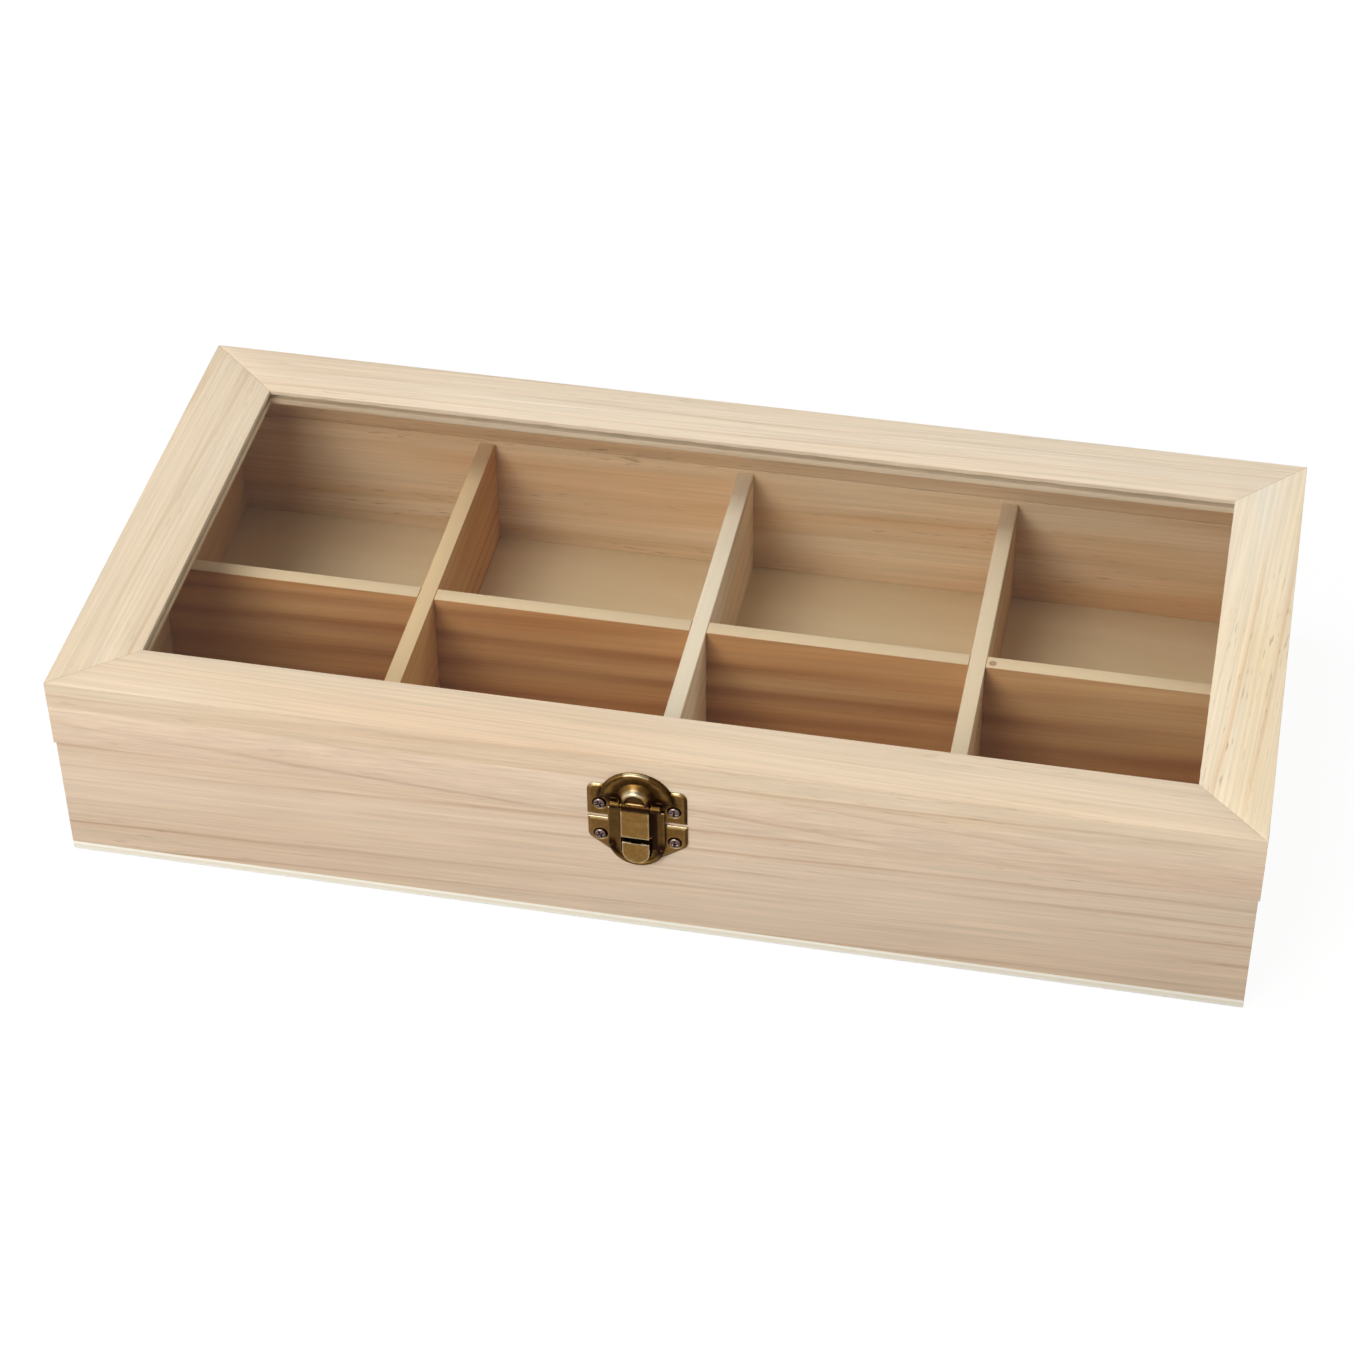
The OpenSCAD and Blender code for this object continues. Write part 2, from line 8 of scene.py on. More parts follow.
# %% Load the frame
from math import atan2, cos, degrees, pi, radians, sin

import bmesh
import bpy
from mathutils import Matrix, Vector
from mathutils.geometry import intersect_point_line


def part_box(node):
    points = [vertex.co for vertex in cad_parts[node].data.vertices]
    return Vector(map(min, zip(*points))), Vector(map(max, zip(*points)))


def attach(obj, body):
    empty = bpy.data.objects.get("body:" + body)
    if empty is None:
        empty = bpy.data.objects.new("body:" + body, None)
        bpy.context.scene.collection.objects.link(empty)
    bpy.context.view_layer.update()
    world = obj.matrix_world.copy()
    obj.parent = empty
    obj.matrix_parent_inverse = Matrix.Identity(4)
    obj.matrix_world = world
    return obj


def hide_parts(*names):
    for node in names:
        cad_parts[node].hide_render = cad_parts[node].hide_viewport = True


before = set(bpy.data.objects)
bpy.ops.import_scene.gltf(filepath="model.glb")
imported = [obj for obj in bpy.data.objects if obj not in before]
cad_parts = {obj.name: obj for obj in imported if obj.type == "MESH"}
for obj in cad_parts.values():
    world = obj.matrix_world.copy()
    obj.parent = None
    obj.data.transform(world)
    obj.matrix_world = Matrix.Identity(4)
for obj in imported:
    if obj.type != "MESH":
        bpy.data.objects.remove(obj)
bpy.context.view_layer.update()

# %% [markdown]
# ## The camera
# The picture is taken from above and a little to the right with a long lens, so the box shows hardly any
# perspective. A camera can be placed by eye, but here its place and its three directions were worked out from the
# corners of the box, which are the same points in the picture and in the CAD model.

# %% Camera
camera_data = bpy.data.cameras.new("camera")
camera_data.sensor_width = 36
camera_data.lens = 91.05
camera = bpy.data.objects.new("camera", camera_data)
bpy.context.scene.collection.objects.link(camera)
to_right = Vector((0.98022, 0.197701, -0.009105))
ahead = Vector((-0.155146, 0.739038, -0.655556))
upward = to_right.cross(ahead)
turned = Matrix((to_right, upward, -ahead)).transposed().to_4x4()
camera.matrix_world = Matrix.Translation(Vector((0.156269, -0.775768, 0.711324))) @ turned
bpy.context.scene.camera = camera
print("camera looks down by", round(degrees(-atan2(ahead.z, ahead.xy.length)), 1), "degrees")

# %% [markdown]
# ## Small tools for modelling
# Everything is given in millimetres, as a joiner would read it. A primitive gets its size and place as soon as it is
# added, and both are applied, so that the object stays at the origin and its mesh is where the piece is.
# Faces and edges are picked in code, by a test on their place or direction.

# %% Tools: adding, picking, cutting
MM = 0.001


def hold(piece):
    """Makes this the one selected object."""
    bpy.ops.object.select_all(action="DESELECT")
    piece.select_set(True)
    bpy.context.view_layer.objects.active = piece


def settle(name):
    """Names the new primitive and applies its place, turn and size."""
    piece = bpy.context.object
    piece.name = piece.data.name = name
    bpy.ops.object.transform_apply(location=True, rotation=True, scale=True)
    return piece


def block(name, low, high):
    """A cube between two corners."""
    low, high = Vector(low) * MM, Vector(high) * MM
    bpy.ops.object.select_all(action="DESELECT")
    bpy.ops.mesh.primitive_cube_add(size=1, location=(low + high) / 2, scale=high - low)
    return settle(name)


def rod(name, low, high, radius, sides=48, tip=None):
    """A cylinder, or a cone with a tip radius, between two points."""
    low, high = Vector(low) * MM, Vector(high) * MM
    turn = (high - low).to_track_quat("Z", "Y").to_euler()
    bpy.ops.object.select_all(action="DESELECT")
    bpy.ops.mesh.primitive_cone_add(
        vertices=sides, radius1=radius * MM, radius2=(radius if tip is None else tip) * MM,
        depth=(high - low).length, location=(low + high) / 2, rotation=turn,
    )
    return settle(name)


def pick(piece, kind, test):
    """Opens the piece in edit mode with the parts selected that pass the test."""
    hold(piece)
    bpy.ops.object.mode_set(mode="EDIT")
    bpy.ops.mesh.select_mode(type=kind)
    bpy.ops.mesh.select_all(action="DESELECT")
    shape = bmesh.from_edit_mesh(piece.data)
    parts = {"VERT": shape.verts, "EDGE": shape.edges, "FACE": shape.faces}[kind]
    for part in parts:
        if test(part):
            part.select_set(True)
    shape.select_flush_mode()
    bmesh.update_edit_mesh(piece.data)


def leave():
    """Goes back to object mode."""
    bpy.ops.object.mode_set(mode="OBJECT")


def middle(edge):
    """Middle of an edge, in millimetres."""
    return (edge.verts[0].co + edge.verts[1].co) * 500


def runs(edge, axis):
    """True if an edge runs along this axis: 0, 1 or 2."""
    along = (edge.verts[1].co - edge.verts[0].co).normalized()
    return abs(along[axis]) > 0.99


def round_edges(piece, width, segments, test=lambda edge: True):
    """Bevels the edges that pass the test."""
    pick(piece, "EDGE", test)
    bpy.ops.mesh.bevel(offset=width * MM, segments=segments, affect="EDGES", clamp_overlap=True)
    leave()


def saw(piece, point, normal):
    """Cuts off all that lies beyond a plane, and closes the cut."""
    pick(piece, "FACE", lambda face: True)
    bpy.ops.mesh.bisect(plane_co=Vector(point) * MM, plane_no=normal, use_fill=True, clear_outer=True)
    leave()


def modify(piece, kind, **settings):
    """Adds a modifier and applies it."""
    hold(piece)
    modifier = piece.modifiers.new(kind, kind)
    for key, value in settings.items():
        setattr(modifier, key, value)
    bpy.ops.object.modifier_apply(modifier=modifier.name)


def combine(piece, tool, operation):
    """Cuts the tool from the piece, or welds it on."""
    modify(piece, "BOOLEAN", object=tool, operation=operation, solver="EXACT")
    bpy.data.objects.remove(tool)


def join(piece, *others):
    """Makes one object of several, each kept as a shell of its own."""
    hold(piece)
    for other in others:
        other.select_set(True)
    bpy.ops.object.join()


def twin(piece, name):
    """A copy of a piece, with a mesh of its own."""
    other = piece.copy()
    other.data = piece.data.copy()
    other.name = other.data.name = name
    bpy.context.scene.collection.objects.link(other)
    hold(other)
    return other


def place(piece, material, body, *nodes):
    """Gives a finished piece its material and its body, and hides the CAD nodes that it stands for."""
    hold(piece)
    bpy.ops.object.shade_smooth_by_angle(angle=radians(40))
    piece.data.materials.clear()
    piece.data.materials.append(material)
    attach(piece, body)
    if nodes:
        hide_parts(*nodes)
    size = [round(v * 1000, 1) for v in piece.dimensions]
    print(f"{piece.name}: {len(piece.data.polygons)} faces, {size} mm")
    return piece


def corners(node):
    """Lowest and highest corner of a CAD node, in millimetres."""
    low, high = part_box(node)
    return low * 1000, high * 1000


print("tools are ready")

# %% [markdown]
# ## Bare paulownia
# Paulownia is a very light, soft wood. Its growth rings show as pale brown lines a few millimetres apart, its fibres
# as fine streaks, and its open pores as short dark dashes. The lines could be painted on each face, but wood is solid,
# so the pattern here is solid too: rings around a heart line that lies outside the board and leans a little. A board
# cut from them shows long lines on its face, arches where the lean cuts the rings, and arcs on its ends.
# Sanded and unfinished, it is matt, with a faint sheen along the fibres.

# %% Colours and the node helper
def linear(hex_colour):
    """An sRGB hex colour as linear red, green, blue and alpha."""
    parts = [int(hex_colour[i:i + 2], 16) / 255 for i in (1, 3, 5)]
    return [c / 12.92 if c <= 0.04045 else ((c + 0.055) / 1.055) ** 2.4 for c in parts] + [1]


def add(tree, kind, inputs=None, stops=None, **settings):
    """Adds one node with its settings. Inputs are values or other nodes' sockets; stops fill a colour ramp."""
    node = tree.nodes.new(kind)
    for key, value in settings.items():
        setattr(node, key, value)
    for socket, value in (inputs or {}).items():
        if isinstance(value, bpy.types.NodeSocket):
            tree.links.new(value, node.inputs[socket])
        else:
            node.inputs[socket].default_value = value
    for i, (position, colour) in enumerate(stops or []):
        elements = node.color_ramp.elements
        stop = elements[i] if i < len(elements) else elements.new(position)
        stop.position, stop.color = position, colour
    return node


def fresh(name):
    """An empty material with its output and one Principled shader."""
    material = bpy.data.materials.new(name)
    material.use_nodes = True
    tree = material.node_tree
    tree.nodes.clear()
    output = add(tree, "ShaderNodeOutputMaterial")
    shader = add(tree, "ShaderNodeBsdfPrincipled")
    tree.links.new(shader.outputs["BSDF"], output.inputs["Surface"])
    return material, tree, shader


def grey(value):
    return value, value, value, 1


print("colours are ready")

# %% Paulownia
def paulownia(name, along, heart, lean, ring, pale, late, warm,
              lines=0.8, pores=0.25, soft=False, top_painted_light_tone=None, knot=None, seed=0.0):
    """Wood with its grain along X or Y. Heart is the heart line's place across the grain and ring the width of one
    year's growth, in mm; lean turns the heart line, in degrees. Soft makes broad bands of the year lines, as where
    the saw ran nearly along them. The top tone is painted light, a paler tone on faces that look up, and knot the
    place of a small knot in mm."""
    material, tree, shader = fresh(name)
    coordinates = add(tree, "ShaderNodeTexCoord")
    turn = (0, 0, -pi / 2 if along == "Y" else 0)
    board = add(tree, "ShaderNodeMapping", {
        "Vector": coordinates.outputs["Object"], "Rotation": turn, "Scale": (1000, 1000, 1000)})
    grain = add(tree, "ShaderNodeMapping", {
        "Vector": board.outputs[0], "Location": (seed * 100, -heart[0], -heart[1]),
        "Rotation": (0, radians(lean[1]), radians(lean[0]))})
    drawn_out = add(tree, "ShaderNodeVectorMath", {0: grain.outputs[0], 1: (0.12, 1, 1)}, operation="MULTIPLY")
    # One ring is 2 pi / 20 units wide in the wave, whatever its scale
    rings = add(tree, "ShaderNodeTexWave", {
        "Vector": drawn_out.outputs[0], "Scale": 0.314 / ring, "Distortion": 4.0, "Detail": 3.0,
        "Detail Scale": 0.8, "Detail Roughness": 0.5},
        wave_type="RINGS", rings_direction="X", wave_profile="SAW")
    narrow = [(0.0, grey(0.1)), (0.5, grey(0.0)), (0.82, grey(0.25)), (0.94, grey(1.0)), (1.0, grey(0.35))]
    broad = [(0.0, grey(0.55)), (0.25, grey(0.0)), (0.55, grey(0.3)), (0.85, grey(1.0)), (1.0, grey(0.8))]
    year = add(tree, "ShaderNodeValToRGB", {"Fac": rings.outputs["Fac"]}, stops=broad if soft else narrow)
    # Lines fade in and out over some 40 mm across and 200 mm along the grain
    faded = add(tree, "ShaderNodeTexNoise", {
        "Vector": drawn_out.outputs[0], "Scale": 0.05, "Detail": 2.0, "Roughness": 0.5})
    strength = add(tree, "ShaderNodeMapRange", {
        "Value": faded.outputs["Fac"], "From Min": 0.38, "From Max": 0.62, "To Min": 0.1 * lines, "To Max": lines})
    line = add(tree, "ShaderNodeMath", {0: year.outputs["Color"], 1: strength.outputs[0]}, operation="MULTIPLY")
    # Broad warm patches, 30 mm across and longer along the grain
    patches = add(tree, "ShaderNodeTexNoise", {
        "Vector": drawn_out.outputs[0], "Scale": 0.033, "Detail": 3.0, "Roughness": 0.55})
    patch = add(tree, "ShaderNodeMapRange", {
        "Value": patches.outputs["Fac"], "From Min": 0.38, "From Max": 0.66})
    ground = add(tree, "ShaderNodeMix", {
        "Factor": patch.outputs[0], "A": linear(pale), "B": linear(warm)}, data_type="RGBA")
    lined = add(tree, "ShaderNodeMix", {
        "Factor": line.outputs[0], "A": ground.outputs["Result"], "B": linear(late)}, data_type="RGBA")
    # Fibres 0.7 mm wide and some 60 mm long
    fibre_space = add(tree, "ShaderNodeVectorMath", {0: grain.outputs[0], 1: (0.012, 1, 1)}, operation="MULTIPLY")
    fibres = add(tree, "ShaderNodeTexNoise", {
        "Vector": fibre_space.outputs[0], "Scale": 1.1, "Detail": 4.0, "Roughness": 0.6})
    fibre_tone = add(tree, "ShaderNodeValToRGB", {"Fac": fibres.outputs["Fac"]}, stops=[
        (0.3, grey(0.86)), (0.7, grey(1.06))])
    streaked = add(tree, "ShaderNodeMix", {
        "Factor": 1.0, "A": lined.outputs["Result"], "B": fibre_tone.outputs["Color"]},
        data_type="RGBA", blend_type="MULTIPLY")
    # Pores are dashes 0.4 mm wide and 5 mm long. Only the widest show, in loose groups
    pore_space = add(tree, "ShaderNodeVectorMath", {0: grain.outputs[0], 1: (0.08, 1, 1)}, operation="MULTIPLY")
    pore_noise = add(tree, "ShaderNodeTexNoise", {
        "Vector": pore_space.outputs[0], "Scale": 1.6, "Detail": 1.0, "Roughness": 0.4})
    pore = add(tree, "ShaderNodeMapRange", {
        "Value": pore_noise.outputs["Fac"], "From Min": 0.66, "From Max": 0.76, "To Max": pores})
    group = add(tree, "ShaderNodeMapRange", {"Value": faded.outputs["Fac"], "From Min": 0.42, "From Max": 0.6})
    shown = add(tree, "ShaderNodeMath", {0: pore.outputs[0], 1: group.outputs[0]}, operation="MULTIPLY")
    surface = add(tree, "ShaderNodeMix", {
        "Factor": shown.outputs[0], "A": streaked.outputs["Result"], "B": linear("#7A5634")}, data_type="RGBA")
    colour = surface.outputs["Result"]
    if top_painted_light_tone:
        # Painted light: faces that look up get a paler tone, as where a top edge catches the lamp
        upward_part = add(tree, "ShaderNodeSeparateXYZ", {0: coordinates.outputs["Normal"]})
        top_painted_light_share = add(tree, "ShaderNodeMapRange", {
            "Value": upward_part.outputs["Z"], "From Min": 0.3, "From Max": 0.8, "To Max": 0.85})
        top_painted_light_mix = add(tree, "ShaderNodeMix", {
            "Factor": top_painted_light_share.outputs[0], "A": colour, "B": linear(top_painted_light_tone)}, data_type="RGBA")
        colour = top_painted_light_mix.outputs["Result"]
    if knot:
        # A ring 2.5 mm wide where a twig began
        from_knot = add(tree, "ShaderNodeVectorMath", {0: board.outputs[0], 1: knot}, operation="DISTANCE")
        knot_share = add(tree, "ShaderNodeMapRange", {
            "Value": from_knot.outputs["Value"], "From Min": 0.9, "From Max": 1.5, "To Min": 0.75, "To Max": 0.0})
        twig = add(tree, "ShaderNodeMapRange", {
            "Value": from_knot.outputs["Value"], "From Min": 0.3, "From Max": 0.8, "To Min": 0.4, "To Max": 1.0})
        ringed = add(tree, "ShaderNodeMath", {0: knot_share.outputs[0], 1: twig.outputs[0]}, operation="MULTIPLY")
        knotted = add(tree, "ShaderNodeMix", {
            "Factor": ringed.outputs[0], "A": colour, "B": linear("#8A4F38")}, data_type="RGBA")
        colour = knotted.outputs["Result"]
    tree.links.new(colour, shader.inputs["Base Color"])
    bump = add(tree, "ShaderNodeBump", {
        "Height": fibres.outputs["Fac"], "Strength": 0.35, "Distance": 0.00008})
    tree.links.new(bump.outputs["Normal"], shader.inputs["Normal"])
    shader.inputs["Roughness"].default_value = 0.7
    shader.inputs["Specular IOR Level"].default_value = 0.3
    return material


print("paulownia is ready to cut")

# %% Boards of the box, one tree each
front_wood = paulownia(
    "paulownia_front_board", "X", (-30, -80), (0.8, 1.5), 7.0,
    "#DEC7AD", "#B48D6C", "#DABFA2", lines=0.6, seed=1)
lid_front_wood = paulownia(
    "paulownia_lid_front_board", "X", (-30, 84), (3.0, 1.4), 5.0,
    "#E7D0B5", "#B79170", "#E2C5A9", lines=0.6, seed=2)
back_wood = paulownia(
    "paulownia_back_board", "X", (120, -40), (0.5, 1.0), 8.0,
    "#E2C8A4", "#B98954", "#D9AC7C", lines=0.4, pores=0.55, soft=True, seed=3)
side_wood = paulownia(
    "paulownia_side_board", "Y", (-120, -50), (0.8, 1.2), 5.5,
    "#DFC39C", "#AB8053", "#D3AC7D", seed=4)
front_rail_wood = paulownia(
    "paulownia_front_rail", "X", (-60, 20), (1.2, 0.4), 6.5,
    "#E5D0B4", "#C5A07C", "#E2C6A6", lines=0.55, seed=5)
back_rail_wood = paulownia(
    "paulownia_back_rail", "X", (110, 30), (-0.8, 0.5), 5.5,
    "#EAD9C1", "#C9A884", "#E8D3B7", lines=0.55, seed=6)
left_rail_wood = paulownia(
    "paulownia_left_rail", "Y", (190, 20), (1.0, 0.6), 6.0,
    "#E5D3B8", "#C8A984", "#E1C9A9", lines=0.5, seed=7)
right_rail_wood = paulownia(
    "paulownia_right_rail", "Y", (-140, 40), (3.5, 0.4), 7.0,
    "#F2E6D0", "#DDB68A", "#F1D9B0", lines=0.6, pores=0.4, seed=8)
divider_wood = paulownia(
    "paulownia_long_divider", "X", (40, -60), (0.5, 1.8), 9.0,
    "#D0A472", "#8F5124", "#C1864C", lines=0.75, soft=True, top_painted_light_tone="#E4CCA8", knot=(89.5, 2.0, 42.0), seed=9)
left_cross_wood = paulownia(
    "paulownia_left_divider", "Y", (60, -40), (0.8, 1.0), 5.0,
    "#DBAE72", "#9A5A24", "#CE9656", lines=0.8, top_painted_light_tone="#E2C49A", seed=10)
# Painted light: the middle and right dividers get paler wood, which stands in for the light on their right-hand faces
middle_cross_wood = paulownia(
    "paulownia_middle_divider", "Y", (70, -50), (0.6, 0.8), 5.5,
    "#F4E2C4", "#C79A68", "#EBCFA4", lines=0.5, top_painted_light_tone="#F0DFC6", seed=11)
right_cross_wood = paulownia(
    "paulownia_right_divider", "Y", (50, -60), (0.9, 0.9), 6.0,
    "#E2C59C", "#AC7A48", "#D4AC79", lines=0.7, top_painted_light_tone="#E9D3B4", seed=12)
print("wood:", sum(m.name.startswith("paulownia") for m in bpy.data.materials), "boards' grain")

# %% [markdown]
# ## Poplar plywood
# The base is thin three-ply. Its faces are peeled from the log, so they show hardly any lines, and its sanded edge is
# nearly white with a slightly darker middle ply. The ply is told apart by height, since the base lies flat.

# %% Plywood
plywood, tree, shader = fresh("poplar_plywood")
coordinates = add(tree, "ShaderNodeTexCoord")
board = add(tree, "ShaderNodeMapping", {"Vector": coordinates.outputs["Object"], "Scale": (120, 1000, 1000)})
soft_lines = add(tree, "ShaderNodeTexNoise", {
    "Vector": board.outputs[0], "Scale": 0.05, "Detail": 4.0, "Roughness": 0.6})
face_tone = add(tree, "ShaderNodeValToRGB", {"Fac": soft_lines.outputs["Fac"]}, stops=[
    (0.3, linear("#DCC39B")), (0.7, linear("#E8D3AE"))])
height = add(tree, "ShaderNodeSeparateXYZ", {0: board.outputs[0]})
ply = add(tree, "ShaderNodeMapRange", {"Value": height.outputs["Z"], "From Min": 2.85, "From Max": 2.99})
edge_line = add(tree, "ShaderNodeMath", {0: height.outputs["Z"], 1: 1.5, 2: 0.55}, operation="COMPARE")
edge_tone = add(tree, "ShaderNodeMix", {
    "Factor": edge_line.outputs[0], "A": linear("#F6F1E4"), "B": linear("#EDE4D0")}, data_type="RGBA")
ply_tone = add(tree, "ShaderNodeMix", {
    "Factor": ply.outputs[0], "A": edge_tone.outputs["Result"], "B": face_tone.outputs["Color"]}, data_type="RGBA")
tree.links.new(ply_tone.outputs["Result"], shader.inputs["Base Color"])
shader.inputs["Roughness"].default_value = 0.65
shader.inputs["Specular IOR Level"].default_value = 0.3
print("plywood is mixed")

# %% [markdown]
# ## The boards of the box
# Each wall is a plain planed board, and glue holds the butt joints. A cube is the right start, and its arrises are
# taken off as with a few strokes of sandpaper, because a dead sharp edge never catches the light. Where boards are
# glued flush, the arris is much finer, so that the joint shows as no more than a hairline.

# %% Walls and base
def wall(node, material, body, arris=0.25):
    """A board at the place of its CAD node, with its arrises taken off."""
    low, high = corners(node)
    piece = block("look_" + node, low, high)
    round_edges(piece, arris, 2)
    return place(piece, material, body, node)


for side, material in (("front", front_wood), ("back", back_wood), ("left", side_wood), ("right", side_wood)):
    wall(side + "_wall", material, "box")
for side, material in (("front", lid_front_wood), ("back", back_wood), ("left", side_wood), ("right", side_wood)):
    wall("lid_" + side + "_wall", material, "lid", arris=0.12)
wall("base_panel", plywood, "box", arris=0.2)

# %% [markdown]
# ## The mitred frame of the lid
# The four rails share one section: a square outer edge, a groove for the glass and a step that sits on the lid's
# walls. A joiner runs that section along a strip and then mitres it to length, and the same order works here. A plane
# is scored into strips, the strips of the groove and the step are taken out, and the rest is pulled out to the
# rail's length. A cut along each mitre line then gives the end its true angle, also where two rails differ in width.

# %% Section of a rail
glass_low, glass_high = corners("glass_pane")
top_z = corners("lid_front_rail")[1].z
foot_z = corners("lid_front_wall")[1].z
groove_floor = glass_low.z
groove_roof = glass_high.z + 0.4
under_z = groove_floor - 1.8
groove_depth = 6.0
wall_width = 5.0
print("groove for the glass, mm up:", round(groove_floor, 2), "to", round(groove_roof, 2))


def rail_strip(name, width, length):
    """A strip along X with its outer face at -width, its window edge at 0 and its top at the lid's top."""
    bpy.ops.object.select_all(action="DESELECT")
    bpy.ops.mesh.primitive_plane_add(size=1, rotation=(0, -pi / 2, 0))
    strip = settle(name)
    strip.scale = (1, width * MM, (top_z - foot_z) * MM)
    strip.location = (-length / 2 * MM, -width / 2 * MM, (top_z + foot_z) / 2 * MM)
    bpy.ops.object.transform_apply(location=True, rotation=True, scale=True)
    scores = [((0, wall_width - width, 0), (0, 1, 0)), ((0, -groove_depth, 0), (0, 1, 0))]
    scores += [((0, 0, z), (0, 0, 1)) for z in (under_z, groove_floor, groove_roof)]
    for point, normal in scores:
        pick(strip, "FACE", lambda face: True)
        bpy.ops.mesh.bisect(plane_co=Vector(point) * MM, plane_no=normal)
        leave()

    def waste(face):
        centre = face.calc_center_median() * 1000
        in_groove = centre.y > -groove_depth and groove_floor < centre.z < groove_roof
        in_step = centre.y > wall_width - width and centre.z < under_z
        return in_groove or in_step

    pick(strip, "FACE", waste)
    bpy.ops.mesh.delete(type="FACE")
    bpy.ops.mesh.select_all(action="SELECT")
    bpy.ops.mesh.dissolve_limited(angle_limit=radians(2))
    bpy.ops.mesh.select_all(action="SELECT")
    # Short steps give the long edges points, so that the saw's wander can show along them
    steps = min(int(length / 3), 100) + 1
    for _ in range(steps):
        bpy.ops.mesh.extrude_region_move(TRANSFORM_OT_translate={"value": (length / steps * MM, 0, 0)})
    bpy.ops.mesh.select_all(action="SELECT")
    bpy.ops.mesh.normals_make_consistent(inside=False)
    leave()
    return strip


# %% Four rails
# Edges of the window and of the frame, in mm from the middle of the box
WINDOW = {"left": -151.5, "right": 154.5, "front": -65.5, "back": 64.0}
OUTER = {"left": -175.0, "right": 175.0, "front": -85.0, "back": 85.0}


def mitre(piece, side_x, side_y, keep):
    """Cuts a rail along the line from an outer corner of the frame to the window's corner, a hair short of it."""
    outer = Vector((OUTER[side_x], OUTER[side_y], 0))
    inner = Vector((WINDOW[side_x], WINDOW[side_y], 0))
    normal = (inner - outer).cross(Vector((0, 0, 1))).normalized()
    if normal.dot(Vector(keep) - outer) > 0:
        normal = -normal
    saw(piece, outer - normal * 0.015, normal)


def rail(side, turn, length, material):
    """One rail: sawn strip, turned into place and mitred at both ends."""
    piece = rail_strip("look_lid_" + side + "_rail", abs(OUTER[side] - WINDOW[side]), length)
    # The upper lip is chipped open and ragged from the saw, which leaves a dark line above the glass
    pick(piece, "VERT", lambda v: v.co.y * 1000 > -0.01 and abs(v.co.z * 1000 - groove_roof) < 0.01)
    bpy.ops.transform.translate(value=(0, 0, 0.0004))
    bpy.ops.transform.vertex_random(offset=0.0002, uniform=0.0, normal=0.0, seed=9)
    leave()
    pick(piece, "VERT", lambda v: v.co.y * 1000 > -0.01 and abs(v.co.z * 1000 - groove_floor) < 0.01)
    bpy.ops.transform.vertex_random(offset=0.00012, uniform=0.0, normal=0.0, seed=5)
    leave()
    x = {"left": WINDOW["left"], "right": WINDOW["right"]}.get(side, 0)
    y = {"front": WINDOW["front"], "back": WINDOW["back"]}.get(side, 0)
    hold(piece)
    piece.rotation_euler = (0, 0, turn)
    piece.location = (x * MM, y * MM, 0)
    bpy.ops.object.transform_apply(location=True, rotation=True, scale=True)
    ends = [("left", side), ("right", side)] if side in ("front", "back") else [(side, "front"), (side, "back")]
    low, high = corners("lid_" + side + "_rail")
    keep = (low + high) / 2
    for side_x, side_y in ends:
        mitre(piece, side_x, side_y, (keep.x, keep.y, 0))
    sharp = lambda edge: len(edge.link_faces) == 2 and edge.calc_face_angle(0) > 1 and middle(edge).z > top_z - 0.01
    round_edges(piece, 0.22, 2, sharp)
    return place(piece, material, "lid", "lid_" + side + "_rail")


rail("front", 0, 352, front_rail_wood)
rail("back", pi, 352, back_rail_wood)
rail("left", -pi / 2, 176, left_rail_wood)
rail("right", pi / 2, 176, right_rail_wood)

# %% [markdown]
# ## The dividers
# The long divider is slotted from above and the three short ones from below, half-way each, so they slide together
# like the divisions of a bottle crate. A slot is cut by taking a block away. The top edges are eased, since hands
# and tea bags rub along them.

# %% Dividers
rim_low, rim_high = corners("long_divider")
half_lap = (rim_low.z + rim_high.z) / 2
long_piece = block("look_long_divider", rim_low, rim_high)
for name in ("left", "middle", "right"):
    low, high = corners("cross_divider_" + name)
    slot = block("slot", (low.x - 0.1, low.y, half_lap), (high.x + 0.1, high.y, high.z + 5))
    combine(long_piece, slot, "DIFFERENCE")
round_edges(long_piece, 0.3, 2, lambda edge: middle(edge).z > rim_high.z - 0.01)
place(long_piece, divider_wood, "box", "long_divider")
for name, material in (("left", left_cross_wood), ("middle", middle_cross_wood), ("right", right_cross_wood)):
    low, high = corners("cross_divider_" + name)
    short_piece = block("look_cross_divider_" + name, low, high)
    slot = block("slot", (low.x - 5, rim_low.y - 0.1, low.z - 5), (high.x + 5, rim_high.y + 0.1, half_lap))
    combine(short_piece, slot, "DIFFERENCE")
    round_edges(short_piece, 0.3, 2, lambda edge: middle(edge).z > high.z - 0.01)
    place(short_piece, material, "box", "cross_divider_" + name)

# %% [markdown]
# ## The window glass
# The pane is plain 2 mm float glass, and its CAD solid already has the right shape. Real glass bends light twice
# and mirrors a little of the room. Lamps must shine through it into the box: without help a renderer treats the pane
# as opaque for lamps, so the shader turns clear for shadow rays, and for scattered light, which would otherwise
# find the lamps through the pane a second time.

# %% Glass
glass, tree, shader = fresh("float_glass")
shader.inputs["Base Color"].default_value = linear("#FEFFFE")
shader.inputs["Roughness"].default_value = 0.0
shader.inputs["IOR"].default_value = 1.5
shader.inputs["Transmission Weight"].default_value = 1.0
output = next(n for n in tree.nodes if n.type == "OUTPUT_MATERIAL")
rays = add(tree, "ShaderNodeLightPath")
clear = add(tree, "ShaderNodeBsdfTransparent", {"Color": linear("#FCFDFC")})
passes = add(tree, "ShaderNodeMath", {
    0: rays.outputs["Is Shadow Ray"], 1: rays.outputs["Is Diffuse Ray"]}, operation="MAXIMUM")
pane = add(tree, "ShaderNodeMixShader", {0: passes.outputs[0], 1: shader.outputs[0], 2: clear.outputs[0]})
tree.links.new(pane.outputs[0], output.inputs["Surface"])
pane_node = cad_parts["glass_pane"]
pane_node.data.materials.clear()
pane_node.data.materials.append(glass)
print("the pane is glass")
